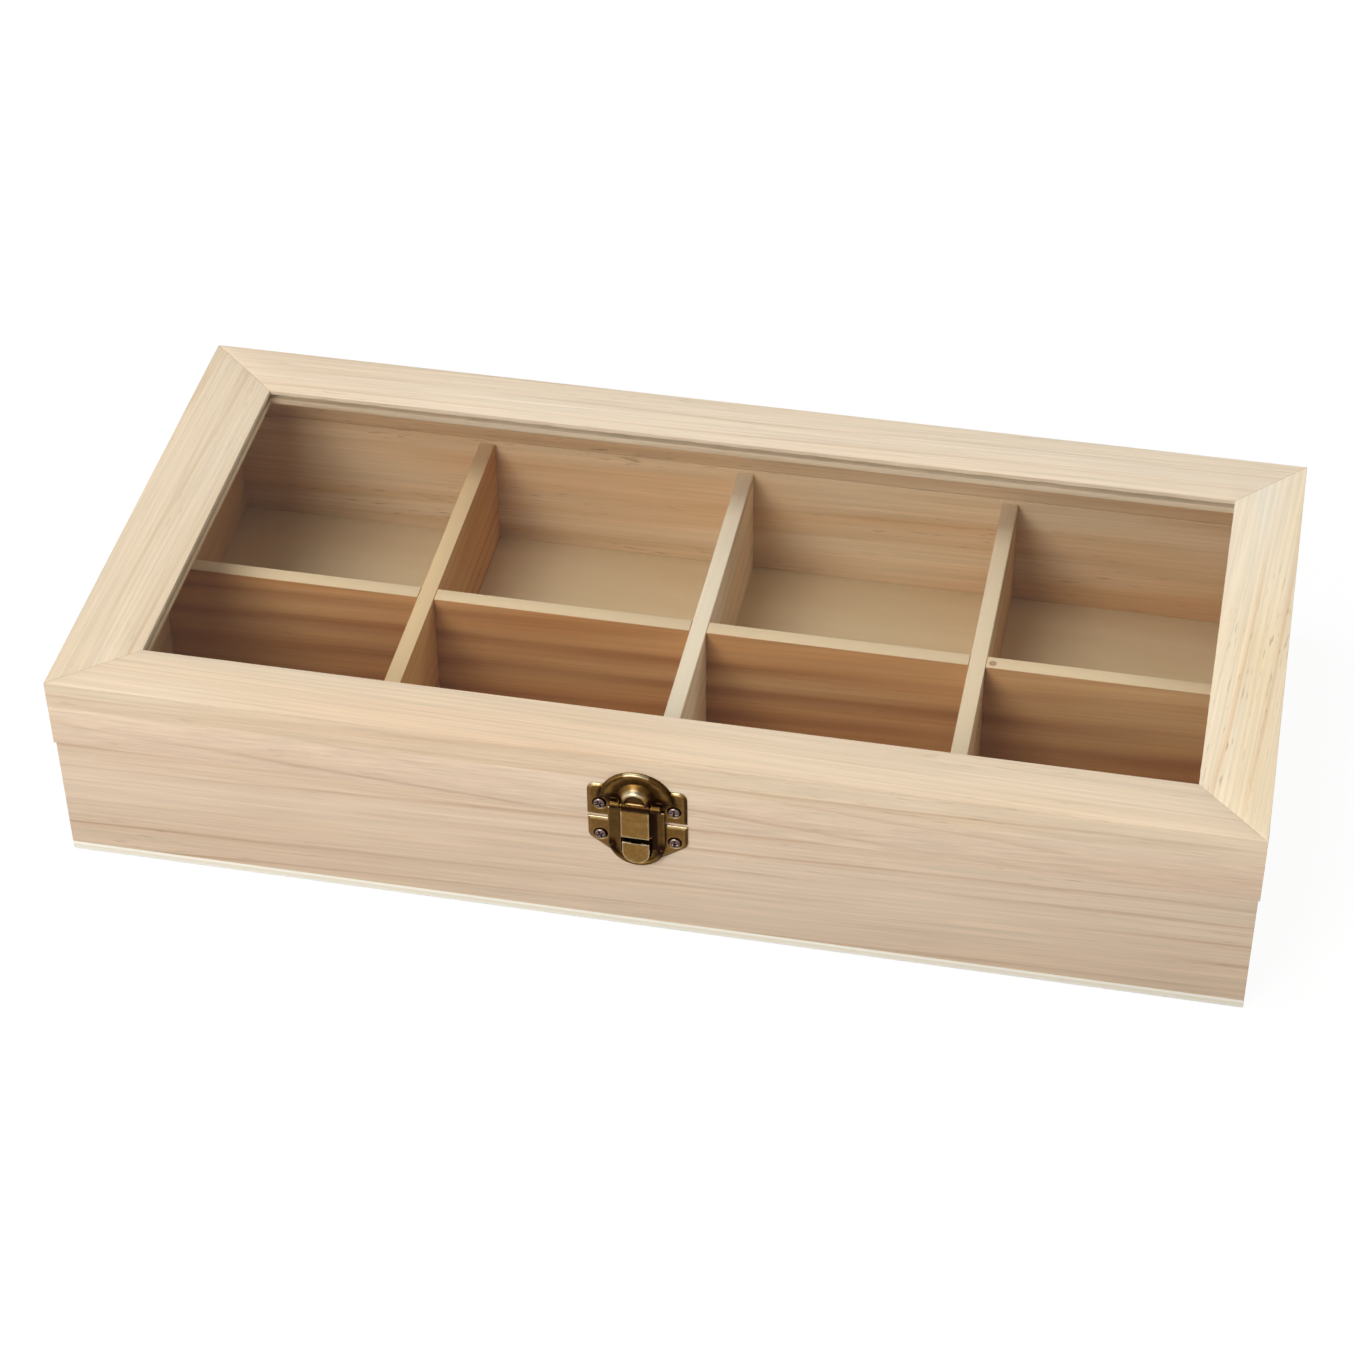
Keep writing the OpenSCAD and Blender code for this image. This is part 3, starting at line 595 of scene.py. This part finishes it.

# %% [markdown]
# ## Old brass
# The latch and hinges are thin steel pressings, brass plated and then stained dark. Where fingers and the tumbling
# drum rub, the stain is gone and bright brass shows, most of all on raised edges. In the hollows it stays dark brown.
# Blender's dirty vertex colours give just that, a value that is high on ridges and low in hollows. It needs many small
# faces, so each pressing is remeshed finely first, which also softens its edges as a press does. Slopes that face up
# get a painted highlight, and those that face right painted shade. Wider places are darkened afterwards along a line
# drawn through each: some hollows, and painted shade where the nose casts its shadow, on the flap's strips, on the
# sides of the arch and on the nose's rounded top.

# %% Brass
def old_brass(name, stain, dull, brass, bright):
    material, tree, shader = fresh(name)
    wear = add(tree, "ShaderNodeAttribute", attribute_name="wear", attribute_type="GEOMETRY")
    coordinates = add(tree, "ShaderNodeTexCoord")
    # Blotches of stain about 1.5 mm wide
    blotches = add(tree, "ShaderNodeTexNoise", {
        "Vector": coordinates.outputs["Object"], "Scale": 650.0, "Detail": 3.0, "Roughness": 0.6})
    spread = add(tree, "ShaderNodeMapRange", {"Value": blotches.outputs["Fac"], "To Min": -0.09, "To Max": 0.09})
    wear_with_painted_light = add(tree, "ShaderNodeMath", {0: wear.outputs["Fac"], 1: spread.outputs[0]}, operation="ADD")
    # Painted highlight on slopes that face up, where they would mirror the lamps, and painted shade on slopes that
    # face right
    facing = add(tree, "ShaderNodeSeparateXYZ", {0: coordinates.outputs["Normal"]})
    painted_highlight_up = add(tree, "ShaderNodeMapRange", {
        "Value": facing.outputs["Z"], "From Min": 0.15, "From Max": 0.7, "To Max": 0.25})
    painted_shade_right = add(tree, "ShaderNodeMapRange", {
        "Value": facing.outputs["X"], "From Min": 0.15, "From Max": 0.6, "To Max": 0.2})
    painted_light_by_facing = add(tree, "ShaderNodeMath", {0: painted_highlight_up.outputs[0], 1: painted_shade_right.outputs[0]}, operation="SUBTRACT")
    wear_with_painted_light = add(tree, "ShaderNodeMath", {0: wear_with_painted_light.outputs[0], 1: painted_light_by_facing.outputs[0]}, operation="ADD")
    # The sides of a pressing stay darker: stain that tumbling leaves there, and painted shade for the dark the sides
    # mirror
    flat_on = add(tree, "ShaderNodeMath", {0: facing.outputs["Y"]}, operation="ABSOLUTE")
    rubbed = add(tree, "ShaderNodeMapRange", {
        "Value": flat_on.outputs[0], "From Min": 0.05, "From Max": 0.35, "To Min": 0.4, "To Max": 1.0})
    wear_painted_light_and_side_shade = add(tree, "ShaderNodeMath", {0: wear_with_painted_light.outputs[0], 1: rubbed.outputs[0]}, operation="MULTIPLY")
    tone = add(tree, "ShaderNodeValToRGB", {"Fac": wear_painted_light_and_side_shade.outputs[0]}, stops=[
        (0.2, linear(stain)), (0.4, linear(dull)), (0.55, linear(brass)), (1.0, linear(bright))])
    # The stain is matt, and the metal under it is glossy
    gloss = add(tree, "ShaderNodeMapRange", {
        "Value": wear_painted_light_and_side_shade.outputs[0], "From Min": 0.2, "From Max": 0.55, "To Min": 0.6, "To Max": 0.34})
    tree.links.new(tone.outputs["Color"], shader.inputs["Base Color"])
    tree.links.new(gloss.outputs[0], shader.inputs["Roughness"])
    shader.inputs["Metallic"].default_value = 1.0
    return material


brass = old_brass("antique_brass_plate", "#291507", "#5A401C", "#836232", "#F0E2BC")
dark_brass = old_brass("antique_brass_screw", "#1C0E0A", "#3C2A26", "#634E48", "#C8B2A8")


def press(piece, grain=0.2, rounds=2, face=None):
    """Remeshes a pressing finely, which also welds its shells, smooths it and stores its wear. Face is the plane, in
    mm along Y, that the pressing lies on: what stands proud of it is rubbed most."""
    modify(piece, "REMESH", mode="VOXEL", voxel_size=grain * MM)
    pick(piece, "VERT", lambda v: True)
    bpy.ops.mesh.vertices_smooth(factor=0.5, repeat=rounds)
    leave()
    hold(piece)
    bpy.ops.geometry.color_attribute_add(name="wear", domain="CORNER", data_type="FLOAT_COLOR", color=(1, 1, 1, 1))
    bpy.ops.paint.vertex_color_dirt(
        blur_strength=1.0, blur_iterations=4, clean_angle=radians(104), dirt_angle=radians(76), normalize=False)
    marks = piece.data.attributes["wear"].data
    if face is not None:
        for corner, mark in zip(piece.data.loops, marks):
            proud = min(abs(piece.data.vertices[corner.vertex_index].co.y * 1000 - face) / 3.5, 1)
            shade = mark.color[0] * (0.82 + 0.26 * proud)
            mark.color = (shade, shade, shade, 1)
    values = sorted(mark.color[0] for mark in marks)
    print(f"{piece.name}: wear {values[len(values) // 20]:.2f}, {values[len(values) // 2]:.2f}, "
          f"{values[-len(values) // 20]:.2f} at 5, 50 and 95 %")
    return piece


def darken_along(piece, line, radius, share):
    """Darkens by this share what lies within the radius of a line of points, in mm: wide hollows, and painted shade.
    """
    for corner, mark in zip(piece.data.loops, piece.data.attributes["wear"].data):
        spot = piece.data.vertices[corner.vertex_index].co * 1000
        gap = min((spot - start.lerp(end, min(max(intersect_point_line(spot, start, end)[1], 0), 1))).length
                  for start, end in zip(line, line[1:]))
        if gap < radius:
            shade = mark.color[0] * (1 - share * min((1 - gap / radius) * 2.5, 1))
            mark.color = (shade, shade, shade, 1)


print("brass is mixed")

# %% [markdown]
# ## The front latch
# A toggle latch of three pressings. The upper plate, on the lid, has two ears for screws, an arched top and a raised
# hood; a pin through its two knuckles carries the flap. The flap's nose goes on where the hood stops, and its ring
# snaps over a tongue that stands out from the lower plate. All three are drawn from the seam between lid and box:
# u runs to the right, v up and w out from the lid's front. Holes are cut while a shape is still a plain plate. The
# raised parts are then only laid into it, and the remesh welds them into one skin.

# %% Latch: upper plate
SEAM_Z = 42.85
LATCH_X = -0.7
FACE_Y = -85.0
# Height and distance of the pin, and heights of the hood's foot, the flap's ring and the tongue
PIVOT = (7.3, 2.4)
HOOD_V = 9.2
RING_V = -7.85
TONGUE_V = -10.05
TONGUE_TOP = -6.3
HOOD_W = 3.7
TONGUE_W = 3.2
print("latch: seam at", SEAM_Z, "mm, pin", PIVOT[1], "mm out from the front")


def at(u, v, w):
    return Vector((LATCH_X + u, FACE_Y - w, SEAM_Z + v))


def arc(centre, radius, w, angles):
    """Points along an arc in the latch's own directions, its angles in degrees."""
    return [at(centre[0] + radius * cos(radians(a)), centre[1] + radius * sin(radians(a)), w) for a in angles]


def sheet(name, u, v, w):
    """A block in the latch's own directions, each given as a pair."""
    return block(name, at(u[0], v[0], w[1]), at(u[1], v[1], w[0]))


def hoop(name, centre, ring_radius, wire_radius):
    """A ring of round section that lies flat against the front."""
    bpy.ops.object.select_all(action="DESELECT")
    bpy.ops.mesh.primitive_torus_add(
        major_radius=ring_radius * MM, minor_radius=wire_radius * MM, major_segments=96, minor_segments=16,
        location=centre * MM, rotation=(pi / 2, 0, 0))
    return settle(name)


def slope_edges(plate, width, depth):
    """Gives the front of a plate sloping edges, as a die that presses its middle out."""
    pick(plate, "FACE", lambda face: face.normal.y < -0.99)
    bpy.ops.mesh.inset(thickness=width * MM, depth=depth * MM)
    leave()


upper = sheet("look_latch_lid_plate", (-14.5, 14.5), (0.6, 12.7), (0, 0.2))
round_edges(upper, 2.5, 8, lambda e: runs(e, 1) and middle(e).z > SEAM_Z + 12)
slope_edges(upper, 0.85, 0.6)
SCREWS_UP = [(-10.8, 5.4), (10.8, 5.4)]
for u, v in SCREWS_UP:
    sink = rod("sink", at(u, v, 0.2), at(u, v, 0.9), 1.5, tip=2.3)
    combine(upper, sink, "DIFFERENCE")
arch = rod("arch", at(0, PIVOT[0], 0), at(0, PIVOT[0], 0.5), 11.0, sides=96)
saw(arch, at(0, 8.3, 0), (0, 0, -1))
slope_edges(arch, 0.5, 0.7)

# %% Latch: hood and knuckles
# Deep drawing leaves a skirt round the foot of the hood
skirt = rod("skirt", at(0, HOOD_V, 0.3), at(0, HOOD_V, 2.7), 6.4, sides=64, tip=4.3)
saw(skirt, at(0, 8.9, 0), (0, 0, -1))
hood = rod("hood", at(0, HOOD_V, 0.4), at(0, HOOD_V, HOOD_W), 4.15, sides=64)
saw(hood, at(0, 8.9, 0), (0, 0, -1))
round_edges(hood, 1.1, 5, lambda e: abs(middle(e).y - (FACE_Y - HOOD_W)) < 0.01 and middle(e).z > SEAM_Z + 8.95)
pick(hood, "FACE", lambda f: f.normal.y < -0.99)
bpy.ops.mesh.inset(thickness=0.35 * MM, depth=-0.45 * MM)
leave()
raised = [arch, skirt, hood]
for side in (-1, 1):
    ends = sorted((side * 4.45, side * 7.45))
    raised.append(rod("knuckle", at(ends[0], *PIVOT), at(ends[1], *PIVOT), 1.3, sides=32))
    raised.append(sheet("web", ends, (7.3, 8.6), (0.4, 2.4)))
join(upper, *raised)
press(upper, face=FACE_Y)
darken_along(upper, [at(-1.2, 9.9, 3.2), at(1.2, 9.9, 3.2)], 2.4, 0.4)
darken_along(upper, arc((0, HOOD_V), 5.6, 1.0, range(0, 181, 30)), 2.4, 0.4)
# Painted shade on the sides of the arch, which mirror no lamp
for angles in (range(5, 66, 20), range(115, 176, 20)):
    darken_along(upper, arc((0, PIVOT[0]), 10.8, 0.9, angles), 1.2, 0.4)
for side in (-1, 1):
    darken_along(upper, [at(side * 4.4, 8.0, 2.6), at(side * 7.6, 8.0, 2.6)], 3.0, 0.65)
place(upper, brass, "lid", "latch_lid_plate")

# %% Latch: lower plate with its tongue
lower = sheet("look_latch_catch_plate", (-14.5, 14.5), (-15.4, -0.6), (-0.5, -0.1))
for side in (-1, 1):
    slope = Vector((side * 5.1, 0, -6.95)).normalized()
    saw(lower, at(side * 13.0, -9.3, 0), slope)
round_edges(lower, 1.2, 4, lambda e: runs(e, 1) and middle(e).z < SEAM_Z - 8 and abs(middle(e).x - LATCH_X) > 14)
slope_edges(lower, 0.8, 0.4)
SCREWS_DOWN = [(-10.8, -6.9), (10.8, -6.9)]
for u, v in SCREWS_DOWN:
    sink = rod("sink", at(u, v, -0.3), at(u, v, 0.4), 1.5, tip=2.3)
    combine(lower, sink, "DIFFERENCE")
tongue = rod("tongue", at(0, TONGUE_V, 0.0), at(0, TONGUE_V, TONGUE_W), 4.0, sides=48)
upright = sheet("upright", (-4.0, 4.0), (TONGUE_V, TONGUE_TOP), (0, TONGUE_W))
combine(tongue, upright, "UNION")
saw(tongue, at(0, TONGUE_TOP, 0), (0, 0, 1))
round_edges(tongue, 0.9, 4, lambda e: (
    abs(middle(e).y - (FACE_Y - TONGUE_W)) < 0.01 and middle(e).z < SEAM_Z + TONGUE_TOP - 0.05))
pick(tongue, "FACE", lambda f: f.normal.y > 0.99 or f.normal.z > 0.99)
bpy.ops.mesh.delete(type="FACE")
leave()
modify(tongue, "SOLIDIFY", thickness=0.6 * MM, offset=-1)
join(lower, tongue)
press(lower, grain=0.15, face=FACE_Y + 1.2)
place(lower, brass, "box", "latch_catch_plate")

# %% Latch: flap
flap = sheet("look_latch_flap", (-8.25, 8.25), (RING_V, 5.4), (1.1, 1.8))
bottom = rod("bottom", at(0, RING_V, 1.1), at(0, RING_V, 1.8), 8.25, sides=96)
combine(flap, bottom, "UNION")
window = rod("window", at(0, TONGUE_V, 0.5), at(0, TONGUE_V, 2.5), 4.45, sides=64)
window_top = sheet("window_top", (-4.45, 4.45), (TONGUE_V, -3.9), (0.5, 2.5))
combine(window, window_top, "UNION")
combine(flap, window, "DIFFERENCE")
nose = sheet("nose", (-4.15, 4.15), (-3.9, 8.6), (1.1, HOOD_W))
round_edges(nose, 1.25, 6, lambda e: runs(e, 0) and middle(e).z > SEAM_Z + 8)
round_edges(nose, 0.7, 4, lambda e: runs(e, 2) and middle(e).y < FACE_Y - 3)
pick(nose, "FACE", lambda f: f.normal.z < -0.99 or f.normal.y > 0.99)
bpy.ops.mesh.delete(type="FACE")
leave()
modify(nose, "SOLIDIFY", thickness=0.65 * MM, offset=-1)
ring = hoop("ring", at(0, RING_V, 1.5), 7.45, 0.75)
saw(ring, at(0, -9.0, 0), (0, 0, 1))
join(flap, nose, ring)
press(flap, grain=0.15, face=FACE_Y)
# Painted shade over the nose's rounded top, where it meets the hood and would catch a lamp highlight
darken_along(flap, [at(-4.2, 8.8, 3.4), at(4.2, 8.8, 3.4)], 3.0, 0.8)
# Painted shade on the flap's strips either side of the nose
for side in (-1, 1):
    darken_along(flap, [at(side * 6.2, 4, 1.8), at(side * 6.2, -9, 1.8)], 3.2, 0.22)
# Painted shadow that the nose casts on its right
darken_along(flap, [at(4.9, 5, 1.8), at(4.9, -8, 1.8)], 1.5, 0.6)
darken_along(flap, arc((0, RING_V), 7.6, 1.5, range(0, -181, -20)), 2.2, 0.3)
for side in (-1, 1):
    darken_along(flap, [at(side * 7.4, -9.4, 1.6), at(side * 7.4, -8.6, 1.6)], 1.6, 0.7)
place(flap, brass, "latch_flap", "latch_flap")

# %% [markdown]
# ## Screws
# Small cross-head screws, browned like the latch. One is modelled and the others are copies, each with a mesh of its
# own and turned a little, since nobody lines up the crosses of such screws.

# %% One screw head, and its copies
def screw_head(name, radius):
    """A low round head, its top facing up, with a cross sunk into it."""
    head = rod(name, (0, 0, -0.2), (0, 0, 0.75), radius, sides=40)
    round_edges(head, 0.45, 4, lambda e: middle(e).z > 0.74 and len(e.link_faces) == 2 and e.calc_face_angle(0) > 1)
    for turn in (0, pi / 2):
        arm = block("arm", (-radius * 0.7, -0.28, 0.2), (radius * 0.7, 0.28, 2))
        arm.rotation_euler = (0, 0, turn)
        hold(arm)
        bpy.ops.object.transform_apply(rotation=True)
        combine(head, arm, "DIFFERENCE")
    return press(head, grain=0.09, rounds=2)


def copies(pattern, name, places, out):
    """One object with a copy of the screw head at each place, its top facing along out (1 is +Y, -1 is -Y)."""
    heads = []
    for i, spot in enumerate(places):
        head = twin(pattern, "head")
        spin = Matrix.Rotation(0.5 + i * 1.1, 3, "Z")
        head.rotation_euler = (Matrix.Rotation(-out * pi / 2, 3, "X") @ spin).to_euler()
        head.location = Vector(spot) * MM
        bpy.ops.object.transform_apply(location=True, rotation=True, scale=True)
        heads.append(head)
    join(*heads)
    heads[0].name = heads[0].data.name = name
    return heads[0]


pattern = screw_head("screw_pattern", 1.75)
lid_screws = copies(pattern, "look_latch_lid_screws", [at(u, v, 0.55) for u, v in SCREWS_UP], -1)
place(lid_screws, dark_brass, "lid", "latch_lid_screws")
catch_screws = copies(pattern, "look_latch_catch_screws", [at(u, v, 0.05) for u, v in SCREWS_DOWN], -1)
place(catch_screws, dark_brass, "box", "latch_catch_screws")

# %% [markdown]
# ## The hinges
# Two small butt hinges join lid and box at the back, out of the picture. Each has a leaf below and a leaf above,
# knuckles that interlock around a pin, and two screws in each leaf. They are built on the left side, and the right
# ones are copies.

# %% Hinges
HINGE_X = 115.0
BACK_Y = 85.0
PIN_OUT = 1.9
HINGE_SCREWS = (-6.5, 6.5)


def leaf(name, up, spans):
    """One left leaf, its plate reaching up (1) or down (-1) from the pin, with knuckles over the given spans."""
    x = -HINGE_X
    edge = [SEAM_Z + up * 0.15, SEAM_Z + up * 10.0]
    plate = block(name, (x - 11, BACK_Y, min(edge)), (x + 11, BACK_Y + 0.8, max(edge)))
    round_edges(plate, 2.0, 6, lambda e: runs(e, 1) and abs(middle(e).z - SEAM_Z) > 9)
    gaps = [(-4, 4)] if up < 0 else [(-11.5, -4), (4, 11.5)]
    for gap in gaps:
        edge = sorted((SEAM_Z - up * 0.5, SEAM_Z + up * 1.9))
        play = 0.3 if up < 0 else 0
        notch = block("notch", (x + gap[0] - play, BACK_Y - 1, edge[0]), (x + gap[1] + play, BACK_Y + 2, edge[1]))
        combine(plate, notch, "DIFFERENCE")
    for offset in HINGE_SCREWS:
        z = SEAM_Z + up * 6.0
        sink = rod("sink", (x + offset, BACK_Y + 0.1, z), (x + offset, BACK_Y + 0.9, z), 1.4, tip=2.2)
        combine(plate, sink, "DIFFERENCE")
    rolled = []
    for span in spans:
        start, end = ((x + offset, BACK_Y + PIN_OUT, SEAM_Z) for offset in span)
        rolled.append(rod("knuckle", start, end, 1.6, sides=32))
        edge = sorted((SEAM_Z + up * 0.15, SEAM_Z + up * 1.6))
        rolled.append(block("web", (x + span[0], BACK_Y, edge[0]), (x + span[1], BACK_Y + PIN_OUT, edge[1])))
    join(plate, *rolled)
    return press(plate, grain=0.22, face=BACK_Y)


leaves = [leaf("look_left_hinge_box_leaf", -1, [(-11, -4.3), (4.3, 11)]),
          leaf("look_left_hinge_lid_leaf", 1, [(-4, 4)])]
for left_leaf in leaves[:2]:
    right_leaf = twin(left_leaf, left_leaf.name.replace("left", "right"))
    right_leaf.location.x = 2 * HINGE_X * MM
    bpy.ops.object.transform_apply(location=True, rotation=True, scale=True)
    leaves.append(right_leaf)
for piece, body in zip(leaves, ("box", "lid", "box", "lid")):
    place(piece, brass, body, piece.name.removeprefix("look_"))
for up, body, node in ((-1, "box", "hinge_box_screws"), (1, "lid", "hinge_lid_screws")):
    spots = [(x + offset, BACK_Y + 0.5, SEAM_Z + up * 6.0) for x in (-HINGE_X, HINGE_X) for offset in HINGE_SCREWS]
    place(copies(pattern, "look_" + node, spots, 1), dark_brass, body, node)
bpy.data.objects.remove(pattern)

# %% [markdown]
# ## Pins
# The pins are plain turned wire, and their CAD solids are right as they are. They have no wear of their own: only
# their ends and the short stretches between the knuckles show, so they get the brass at its middle tone.

# %% Pins
pin_brass, tree, shader = fresh("antique_brass_pin")
coordinates = add(tree, "ShaderNodeTexCoord")
rubbed = add(tree, "ShaderNodeTexNoise", {"Vector": coordinates.outputs["Object"], "Scale": 400.0, "Detail": 2.0})
pin_tone = add(tree, "ShaderNodeValToRGB", {"Fac": rubbed.outputs["Fac"]}, stops=[
    (0.35, linear("#5B4725")), (0.65, linear("#9A8048"))])
tree.links.new(pin_tone.outputs["Color"], shader.inputs["Base Color"])
shader.inputs["Metallic"].default_value = 1.0
shader.inputs["Roughness"].default_value = 0.35
for node in ("latch_pin", "left_hinge_pin", "right_hinge_pin"):
    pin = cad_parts[node]
    pin.data.materials.clear()
    pin.data.materials.append(pin_brass)
print("pins are dressed")

# %% [markdown]
# ## Floor and light
# The box stands on white in even studio light. A white floor that only received light would turn grey, and more
# light would bleach the wood. So the camera, mirrors and glass see the floor as almost white in itself, and the rest
# of its brightness is lit, which keeps a soft shadow under the box. The room is a dim white dome with three lamps.
# A large one hangs above and to the left. One stands in front, a little to the left and half-way up: it shines through
# the window on to the back wall, and the sloping edges of the latch mirror it. A weak one fills the shade at the back.

# %% Floor
bpy.ops.object.select_all(action="DESELECT")
bpy.ops.mesh.primitive_plane_add(size=8, location=(0, 0, -0.0002))
floor = settle("floor")
paper, tree, shader = fresh("white_paper")
shader.inputs["Base Color"].default_value = linear("#D0D0D0")
shader.inputs["Roughness"].default_value = 0.9
output = next(n for n in tree.nodes if n.type == "OUTPUT_MATERIAL")
rays = add(tree, "ShaderNodeLightPath")
seen = add(tree, "ShaderNodeMath", {
    0: rays.outputs["Is Camera Ray"], 1: rays.outputs["Is Glossy Ray"]}, operation="MAXIMUM")
seen = add(tree, "ShaderNodeMath", {0: seen.outputs[0], 1: rays.outputs["Is Transmission Ray"]}, operation="MAXIMUM")
share = add(tree, "ShaderNodeMath", {0: seen.outputs[0], 1: 0.86}, operation="MULTIPLY")
glow = add(tree, "ShaderNodeEmission", {"Color": (1, 1, 1, 1), "Strength": 1.08})
both = add(tree, "ShaderNodeMixShader", {0: share.outputs[0], 1: shader.outputs[0], 2: glow.outputs[0]})
tree.links.new(both.outputs[0], output.inputs["Surface"])
floor.data.materials.append(paper)
print("floor is laid")

# %% Dome and lamps
world = bpy.data.worlds.new("studio")
world.use_nodes = True
tree = world.node_tree
tree.nodes.clear()
output = add(tree, "ShaderNodeOutputWorld")
rays = add(tree, "ShaderNodeLightPath")
coordinates = add(tree, "ShaderNodeTexCoord")
direction = add(tree, "ShaderNodeSeparateXYZ", {0: coordinates.outputs["Generated"]})
# Mirrors and glass see white low down and a dim ceiling overhead
ceiling = add(tree, "ShaderNodeMapRange", {
    "Value": direction.outputs["Z"], "From Min": 0.4, "From Max": 0.6, "To Min": 1.0, "To Max": 0.15})
mirrored = add(tree, "ShaderNodeMath", {
    0: rays.outputs["Is Glossy Ray"], 1: rays.outputs["Is Transmission Ray"]}, operation="MAXIMUM")
lit = add(tree, "ShaderNodeMix", {"Factor": mirrored.outputs[0], "A": 0.3, "B": ceiling.outputs[0]}, data_type="FLOAT")
strength = add(tree, "ShaderNodeMix", {
    "Factor": rays.outputs["Is Camera Ray"], "A": lit.outputs["Result"], "B": 1.0}, data_type="FLOAT")
dome = add(tree, "ShaderNodeBackground", {"Color": (1, 1, 1, 1), "Strength": strength.outputs["Result"]})
tree.links.new(dome.outputs[0], output.inputs["Surface"])
bpy.context.scene.world = world


def softbox(name, size, watts, spot):
    """A square lamp that faces the box."""
    data = bpy.data.lights.new(name, "AREA")
    data.shape = "SQUARE"
    data.size = size
    data.energy = watts
    lamp = bpy.data.objects.new(name, data)
    bpy.context.scene.collection.objects.link(lamp)
    lamp.location = spot
    lamp.rotation_euler = (-Vector(spot)).to_track_quat("-Z", "Y").to_euler()


softbox("overhead_softbox", 1.6, 29.0, (-1.0, 0.1, 2.45))
softbox("front_softbox", 0.8, 16.0, (-0.5, -1.3, 1.0))
softbox("rear_softbox", 0.8, 7.0, (1.1, 1.2, 1.0))
bpy.context.scene.view_settings.view_transform = "Standard"
print("lamps:", sorted(lamp.name for lamp in bpy.data.lights))
